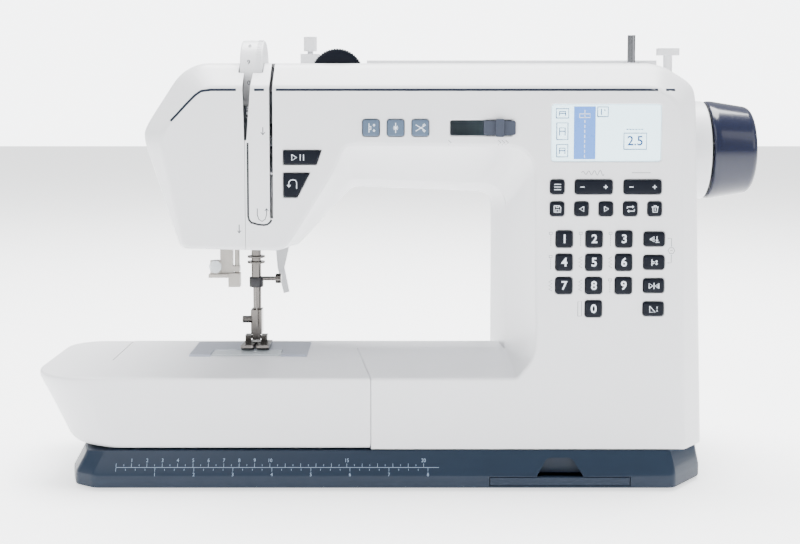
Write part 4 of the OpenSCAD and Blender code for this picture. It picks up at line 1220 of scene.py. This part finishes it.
class SEWING_OT_display(bpy.types.Operator):
    """Builds the display's glass, its recessed rim and its lit picture"""
    bl_idname = "sewing.display"
    bl_label = "Display"

    def execute(self, context):
        low, high = lo("lcd_screen"), hi("lcd_screen")
        glass = shader("display glass", (0.66, 0.88, 0.97), 0.15, coat=0.2, variation=0.02, roughness_spread=0.03,
                       emission=1.5)
        band_paint = shader("display band", (0.08, 0.22, 0.62), 0.3, variation=0.03, emission=0.45)
        y = low.y
        outline = rounded(display_corners(0), 1.4 * MM)
        rings = [ring_xz(outline, low.y + 4 * MM), ring_xz(outline, y + 0.3 * MM), ring_xz(inset(outline, 0.3 * MM), y)]
        board = box_object("board", (low.x, low.y + 4.2 * MM, low.z), (high.x, high.y, high.z))
        screen = join([outward(make_object("glass", *skin(rings), smooth=False)), board], "lcd_screen_glass")
        done(screen, "body", glass, ["lcd_screen"])
        left, right = outline[0][0] + 0.2 * MM, high.x - 3 * MM
        bottom, top = low.z + 3 * MM, high.z - 3 * MM
        thick = 0.06 * MM
        x0, x1 = low.x + 3 * MM + 14 * MM, low.x + 3 * MM + 28 * MM
        edge = 1 * MM
        band = plate("display_band", [(x0, bottom + edge), (x0, top - edge), (x1, top - edge), (x1, bottom + edge)],
                     y - thick, y)
        done(band, "body", band_paint)
        centre = (x0 + x1) / 2
        dark = ink("display ink", (0.01, 0.06, 0.2))
        stitch = [[(centre, bottom + (2 + 3.2 * i) * MM), (centre, bottom + (3.9 + 3.2 * i) * MM)] for i in range(10)]
        pill = at(centre, top, [(-3.4, -8.2), (-3.4, -5.8), (3.4, -5.8), (3.4, -8.2), (-3.4, -8.2)])
        done(strokes("display_stitch", stitch + [pill], 0.55 * MM, y - thick, thick, white_ink()), "body")
        lines = []
        x = low.x + 3 * MM + 6.6 * MM
        for z, half_w, half_h in ((top - 5.5 * MM, 4, 3), (top - 17 * MM, 3.6, 5.4), (top - 29.5 * MM, 3.6, 4)):
            w, h = half_w * MM, half_h * MM
            lines.append(frame_of(x, z, w, h))
            w /= 2
            lines += [[(x - w, z - h / 2), (x - w, z + h * 0.4), (x + w, z + h * 0.4), (x + w, z - h / 2)],
                      [(x - w, z), (x + w, z)]]
        box_x, box_z = left + 52 * MM, bottom + 12.6 * MM
        lines.append(frame_of(box_x, box_z, 7.3 * MM, 5.2 * MM))
        lines += [at(box_x, box_z, [((k - 3) * 1.9, 7.6), ((k - 2.4) * 1.9, 7.6)]) for k in range(6)]
        small = x1 + 4.6 * MM
        lines += [frame_of(small, top - 4.5 * MM, 3.4 * MM, 3.1 * MM), at(small, top, [(-1, -6.4), (-1, -2.6)]),
                  at(small, top, [(1.2, -4), (1.2, -3)])]
        picture = [strokes("icons", lines, 0.6 * MM, y, thick, dark),
                   digits("length value", "2.5", 8.6 * MM, box_x, y - thick / 2, box_z, thick, dark, 0.08 * MM)]
        done(join(picture, "display_icons"), "body")
        return {"FINISHED"}


# ---------------------------------------------------------------- prints

def pinstripe_paths():
    """The printed stripe's runs on the arm, the tongue and the head, as (x, z) points."""
    z = TOP - 17.6 * MM
    arm = [(TONGUE + 20 * MM + (SIDE - 18 * MM - TONGUE - 20 * MM) * k / 40, z) for k in range(41)]
    tongue = [(TONGUE + x * MM, z) for x in (6, 8, 10, 12.5)]
    head = at(TONGUE, z, [(-5.5, 0), (-14, 0), (-22, 0), (-28, -0.8), (-32, -3.5), (-38, -9.5), (-44, -16), (-48, -20)])
    return arm, tongue, head


def tick_tree(material):
    """Geometry Nodes: a row of ruler ticks, with each major one longer."""
    tree, add, link = node_group("ruler ticks", (("Count", "Int"), ("Pitch", "Float"), ("Tick", "Vector"),
                                                 ("Major", "Int"), ("Stretch", "Float")))
    start, index, step = add("NodeGroupInput"), add("GeometryNodeInputIndex"), add("ShaderNodeCombineXYZ")
    line, tick = add("GeometryNodeMeshLine"), add("GeometryNodeMeshCube")
    left_over, is_major = add("ShaderNodeMath", "MODULO"), add("ShaderNodeMath", "LESS_THAN")
    is_major.inputs[1].default_value = 0.5
    longer, size = add("ShaderNodeMath", "MULTIPLY_ADD"), add("ShaderNodeCombineXYZ")
    longer.inputs[2].default_value = 1.0
    size.inputs["X"].default_value = 1.0
    size.inputs["Y"].default_value = 1.0
    place = add("GeometryNodeInstanceOnPoints")
    link((start, "Pitch", step, "X"), (start, "Count", line, "Count"), (step, 0, line, "Offset"),
         (start, "Tick", tick, "Size"), (index, 0, left_over, 0), (start, "Major", left_over, 1),
         (left_over, 0, is_major, 0), (is_major, 0, longer, 0), (start, "Stretch", longer, 1), (longer, 0, size, "Z"),
         (line, "Mesh", place, "Points"), (tick, "Mesh", place, "Instance"), (size, 0, place, "Scale"))
    end_group(add, link, place, material)
    return tree


class SEWING_OT_prints(bpy.types.Operator):
    """Prints the stripe, the thread marks and the ruler"""
    bl_idname = "sewing.prints"
    bl_label = "Prints"

    def execute(self, context):
        thick = context.scene.sewing_prints.ink_thickness
        front, head, base = (bpy.data.objects[n] for n in ("front_cover_shell", "head_cover_shell", "base_pan_body"))
        stripe = ink("stripe ink", (0.02, 0.026, 0.038))
        arm, tongue, side = pinstripe_paths()
        piece = strokes("stripe_arm", [arm, tongue], 1.6 * MM, 0, 2 * thick, stripe, 6)
        done(lay(piece, front), "body")
        dense = []
        for a, b in zip(side, side[1:]):
            dense += [(a[0] + (b[0] - a[0]) * k / 6, a[1] + (b[1] - a[1]) * k / 6) for k in range(6)]
        piece = strokes("stripe_head", [dense + [side[-1]]], 1.6 * MM, 0, 2 * thick, stripe, 6)
        done(lay(piece, head), "body")
        # Painted shade: a flat dark strip stands for the shaded channel around the tongue between the thread slots
        right_slot = NEEDLE + 21 * MM
        channel = [at(TONGUE, TOP, [(1.6, -51.6 - 1.9 * k) for k in range(26)] + [(2.2, -101.5), (3.4, -103)]),
                   at(right_slot, TOP, [(-0.1, -101.3), (-0.4, -102.1), (-1.2, -103.2), (-2.8, -104.4), (-5, -104.8),
                                                                    (-9, -104.4), (-12, -103.4), (-13.6, -103.2)])]
        piece = strokes("tongue_channel", channel, 1.3 * MM, 0, thick, black_plastic(), 2)
        done(lay(piece, front), "body")
        # Thread marks on the tongue and on the head
        marks = [at(TONGUE, TOP, line) for line in (
            [(11.5, -41.5), (11.5, -46.5)], [(10.2, -44.8), (11.5, -46.5), (12.8, -44.8)],
            [(7.5, -94), (7.5, -98), (8.4, -101), (10.5, -102.4), (12.6, -101), (13.5, -98), (13.5, -94)],
            [(12.4, -95.6), (13.5, -94), (14.6, -95.6)])]
        done(lay(strokes("thread_marks", marks, 0.5 * MM, 0, thick, ink()), front), "body")
        mark = [at(TONGUE, TOP, [(-4.3, -104.5), (-4.3, -110)]),
                at(TONGUE, TOP, [(-5.4, -108.4), (-4.3, -110), (-3.2, -108.4)])]
        done(lay(strokes("thread_mark_head", mark, 0.5 * MM, 0, thick, ink()), head), "body")
        # Symbols around the keys
        lines = []
        x, z = mid("key_width").x - 1 * MM, hi("key_width").z + 4.6 * MM
        lines.append([(x + (-7 + 0.5 * i) * MM, z + (0.9 + 0.035 * i) * MM * math.sin(0.85 * i)) for i in range(30)])
        x = mid("key_length").x - 1 * MM
        lines.append([(x - 6 * MM, z), (x + 6 * MM, z)])
        for k in range(1, 10):
            node = "key_%d" % k
            x, z = lo(node).x - 3.4 * MM, mid(node).z
            if k in (5, 6, 7, 8):
                lines.append([(x + (-1.1 if i % 2 else 1.1) * MM, z + (3.6 - 1.2 * i) * MM) for i in range(7)])
            else:
                lines += [[(x, z + (2.4 - 1.5 * i) * MM), (x, z + (1.5 - 1.5 * i) * MM)] for i in range(5)]
                lines.append(frame_of(x, z + 3.7 * MM, 1 * MM, 0.7 * MM))
        x, z = lo("key_0").x - 3.6 * MM, mid("key_0").z
        lines.append(frame_of(x, z, 1.2 * MM, 4.8 * MM))
        upper, lower = mid("key_left"), mid("key_right")
        x = hi("key_left").x + 2.2 * MM
        middle_z = (upper.z + lower.z) / 2
        for sign in (1, -1):
            lines.append(at(x, middle_z, [(0, sign * 8), (2.4, sign * 8), (2.4, sign * 2.6)]))
        corners = [math.pi * k / 3 for k in range(7)]
        lines += [at(x, middle_z, [(2.4 + 2.2 * math.cos(a), 2.2 * math.sin(a)) for a in corners]),
                  at(x, middle_z, [(1.6, 0), (3.2, 0)])]
        knob = mid("speed_slider")
        for k, shift in enumerate((-32, 0, 2.4, 4.8)):
            x, z = knob.x + shift * MM, knob.z - 9.5 * MM
            lines.append([(x - 0.9 * MM, z + 1.5 * MM), (x + 0.9 * MM, z), (x - 0.9 * MM, z - 1.5 * MM)])
        piece = strokes("panel_symbols", lines, 0.36 * MM, 0, thick, ink("grey ink", (0.16, 0.17, 0.19)))
        done(lay(piece, front), "body")
        # Ruler on the base: centimetres above, inches below
        zero, unit = NEEDLE - 81 * MM, 10.02 * MM
        low = lo("base_pan")
        line_z = low.z + 13.2 * MM
        pale = ink("ruler ink", (0.25, 0.33, 0.45))
        ticks = []
        inch = 25.4 * MM
        for count, pitch, major, side_of_line in ((41, unit / 2, 2, 1), (33, inch / 4, 4, -1)):
            row = instanced("ruler_row", tick_tree(pale), {
                "Count": count, "Pitch": pitch, "Major": major, "Stretch": 0.9, "Tick": (0.25 * MM, thick, 1.1 * MM)},
                pale)
            row.data.transform(Matrix.Translation((zero, -thick / 2, line_z + side_of_line * 1.3 * MM)))
            ticks.append(row)
        line = [(zero + k * unit / 4, line_z) for k in range(85)]
        ticks.append(strokes("ruler line", [line], 0.25 * MM, 0, thick, pale))
        for numbers, pitch, rise in ((list(range(1, 11)) + [15, 20], unit, 4 * MM), (range(1, 9), inch, -4.2 * MM)):
            for k in numbers:
                ticks.append(digits("ruler digit", str(k), 3 * MM, zero + k * pitch, -thick / 2, line_z + rise,
                                    thick, pale))
        done(lay(join(ticks, "ruler"), base), "body")
        return {"FINISHED"}


# ---------------------------------------------------------------- stage

def area_light(name, place, aim, size, power, tint=(1, 1, 1)):
    """A soft rectangular light pointed at a place."""
    light = bpy.data.lights.new(name, "AREA")
    light.shape = "RECTANGLE"
    light.size, light.size_y = size
    light.energy = power
    light.color = tint
    obj = linked(name, light)
    obj.location = place
    obj.rotation_euler = (Vector(aim) - Vector(place)).to_track_quat("-Z", "Y").to_euler()
    return obj


class SEWING_OT_stage(bpy.types.Operator):
    """Sets the floor, the soft lights and the camera"""
    bl_idname = "sewing.stage"
    bl_label = "Stage"

    def execute(self, context):
        scene = context.scene
        floor = make_object("floor", [(-6, -6, 0), (6, -6, 0), (6, 6, 0), (-6, 6, 0)], [(0, 1, 2, 3)], False)
        paint(floor, shader("floor paint", (0.93, 0.935, 0.94), 0.8, variation=0.004, grain_scale=40, emission=1.6,
                            specular=0.1))
        world = bpy.data.worlds.new("studio")
        world.use_nodes = True
        nodes, links = world.node_tree.nodes, world.node_tree.links
        glow, rays, level = nodes["Background"], nodes.new("ShaderNodeLightPath"), nodes.new("ShaderNodeMapRange")
        glow.inputs["Color"].default_value = (0.97, 0.985, 1.0, 1)
        level.inputs["To Min"].default_value = 0.8
        level.inputs["To Max"].default_value = 6.0
        links.new(rays.outputs["Is Camera Ray"], level.inputs["Value"])
        links.new(level.outputs["Result"], glow.inputs["Strength"])
        scene.world = world
        middle = (0, 0, 0.14)
        area_light("key light", (-0.9, -1.3, 1.5), middle, (1.4, 1.0), 22)
        area_light("fill light", (1.5, -0.9, 0.9), middle, (1.0, 1.2), 8)
        area_light("top light", (0.1, 0.4, 1.7), middle, (1.6, 1.0), 130)
        camera = bpy.data.cameras.new("camera")
        camera.lens = 56.5
        camera.sensor_width = 36
        camera.shift_y = -0.1
        camera.clip_start = 0.01
        view = linked("camera", camera)
        view.location = (-0.003, -0.8925, 0.254)
        view.rotation_euler = (math.pi / 2 - math.radians(4.2), 0, 0)
        scene.camera = view
        return {"FINISHED"}


class SEWING_PT_panel(bpy.types.Panel):
    """Lists the steps in the sidebar"""
    bl_idname = "SEWING_PT_panel"
    bl_label = "Sewing machine"
    bl_space_type = "VIEW_3D"
    bl_region_type = "UI"
    bl_category = "Sewing"

    def draw(self, context):
        for group, kind in SETTINGS.items():
            for name in kind.__annotations__:
                self.layout.prop(getattr(context.scene, group), name)
        for step in STEPS:
            self.layout.operator(step.bl_idname)


STEPS = (SEWING_OT_front_casing, SEWING_OT_rear_casing, SEWING_OT_bed, SEWING_OT_base, SEWING_OT_handwheel,
         SEWING_OT_dials, SEWING_OT_metal_parts, SEWING_OT_keys, SEWING_OT_display, SEWING_OT_prints, SEWING_OT_stage)
SETTINGS = {"sewing_casing": CasingSettings, "sewing_keys": KeySettings, "sewing_prints": PrintSettings}
CLASSES = (*SETTINGS.values(), *STEPS, SEWING_PT_panel)


def register():
    """Registers the settings, the steps and the panel"""
    for item in CLASSES:
        bpy.utils.register_class(item)
    for name, kind in SETTINGS.items():
        setattr(bpy.types.Scene, name, bpy.props.PointerProperty(type=kind))


def unregister():
    """Takes the settings, the steps and the panel away again"""
    for name in SETTINGS:
        delattr(bpy.types.Scene, name)
    for item in reversed(CLASSES):
        bpy.utils.unregister_class(item)


def main():
    """Builds everything in order."""
    register()
    for step in STEPS:
        group, name = step.bl_idname.split(".")
        getattr(getattr(bpy.ops, group), name)()
    bpy.context.view_layer.update()


if __name__ == "__main__":
    main()
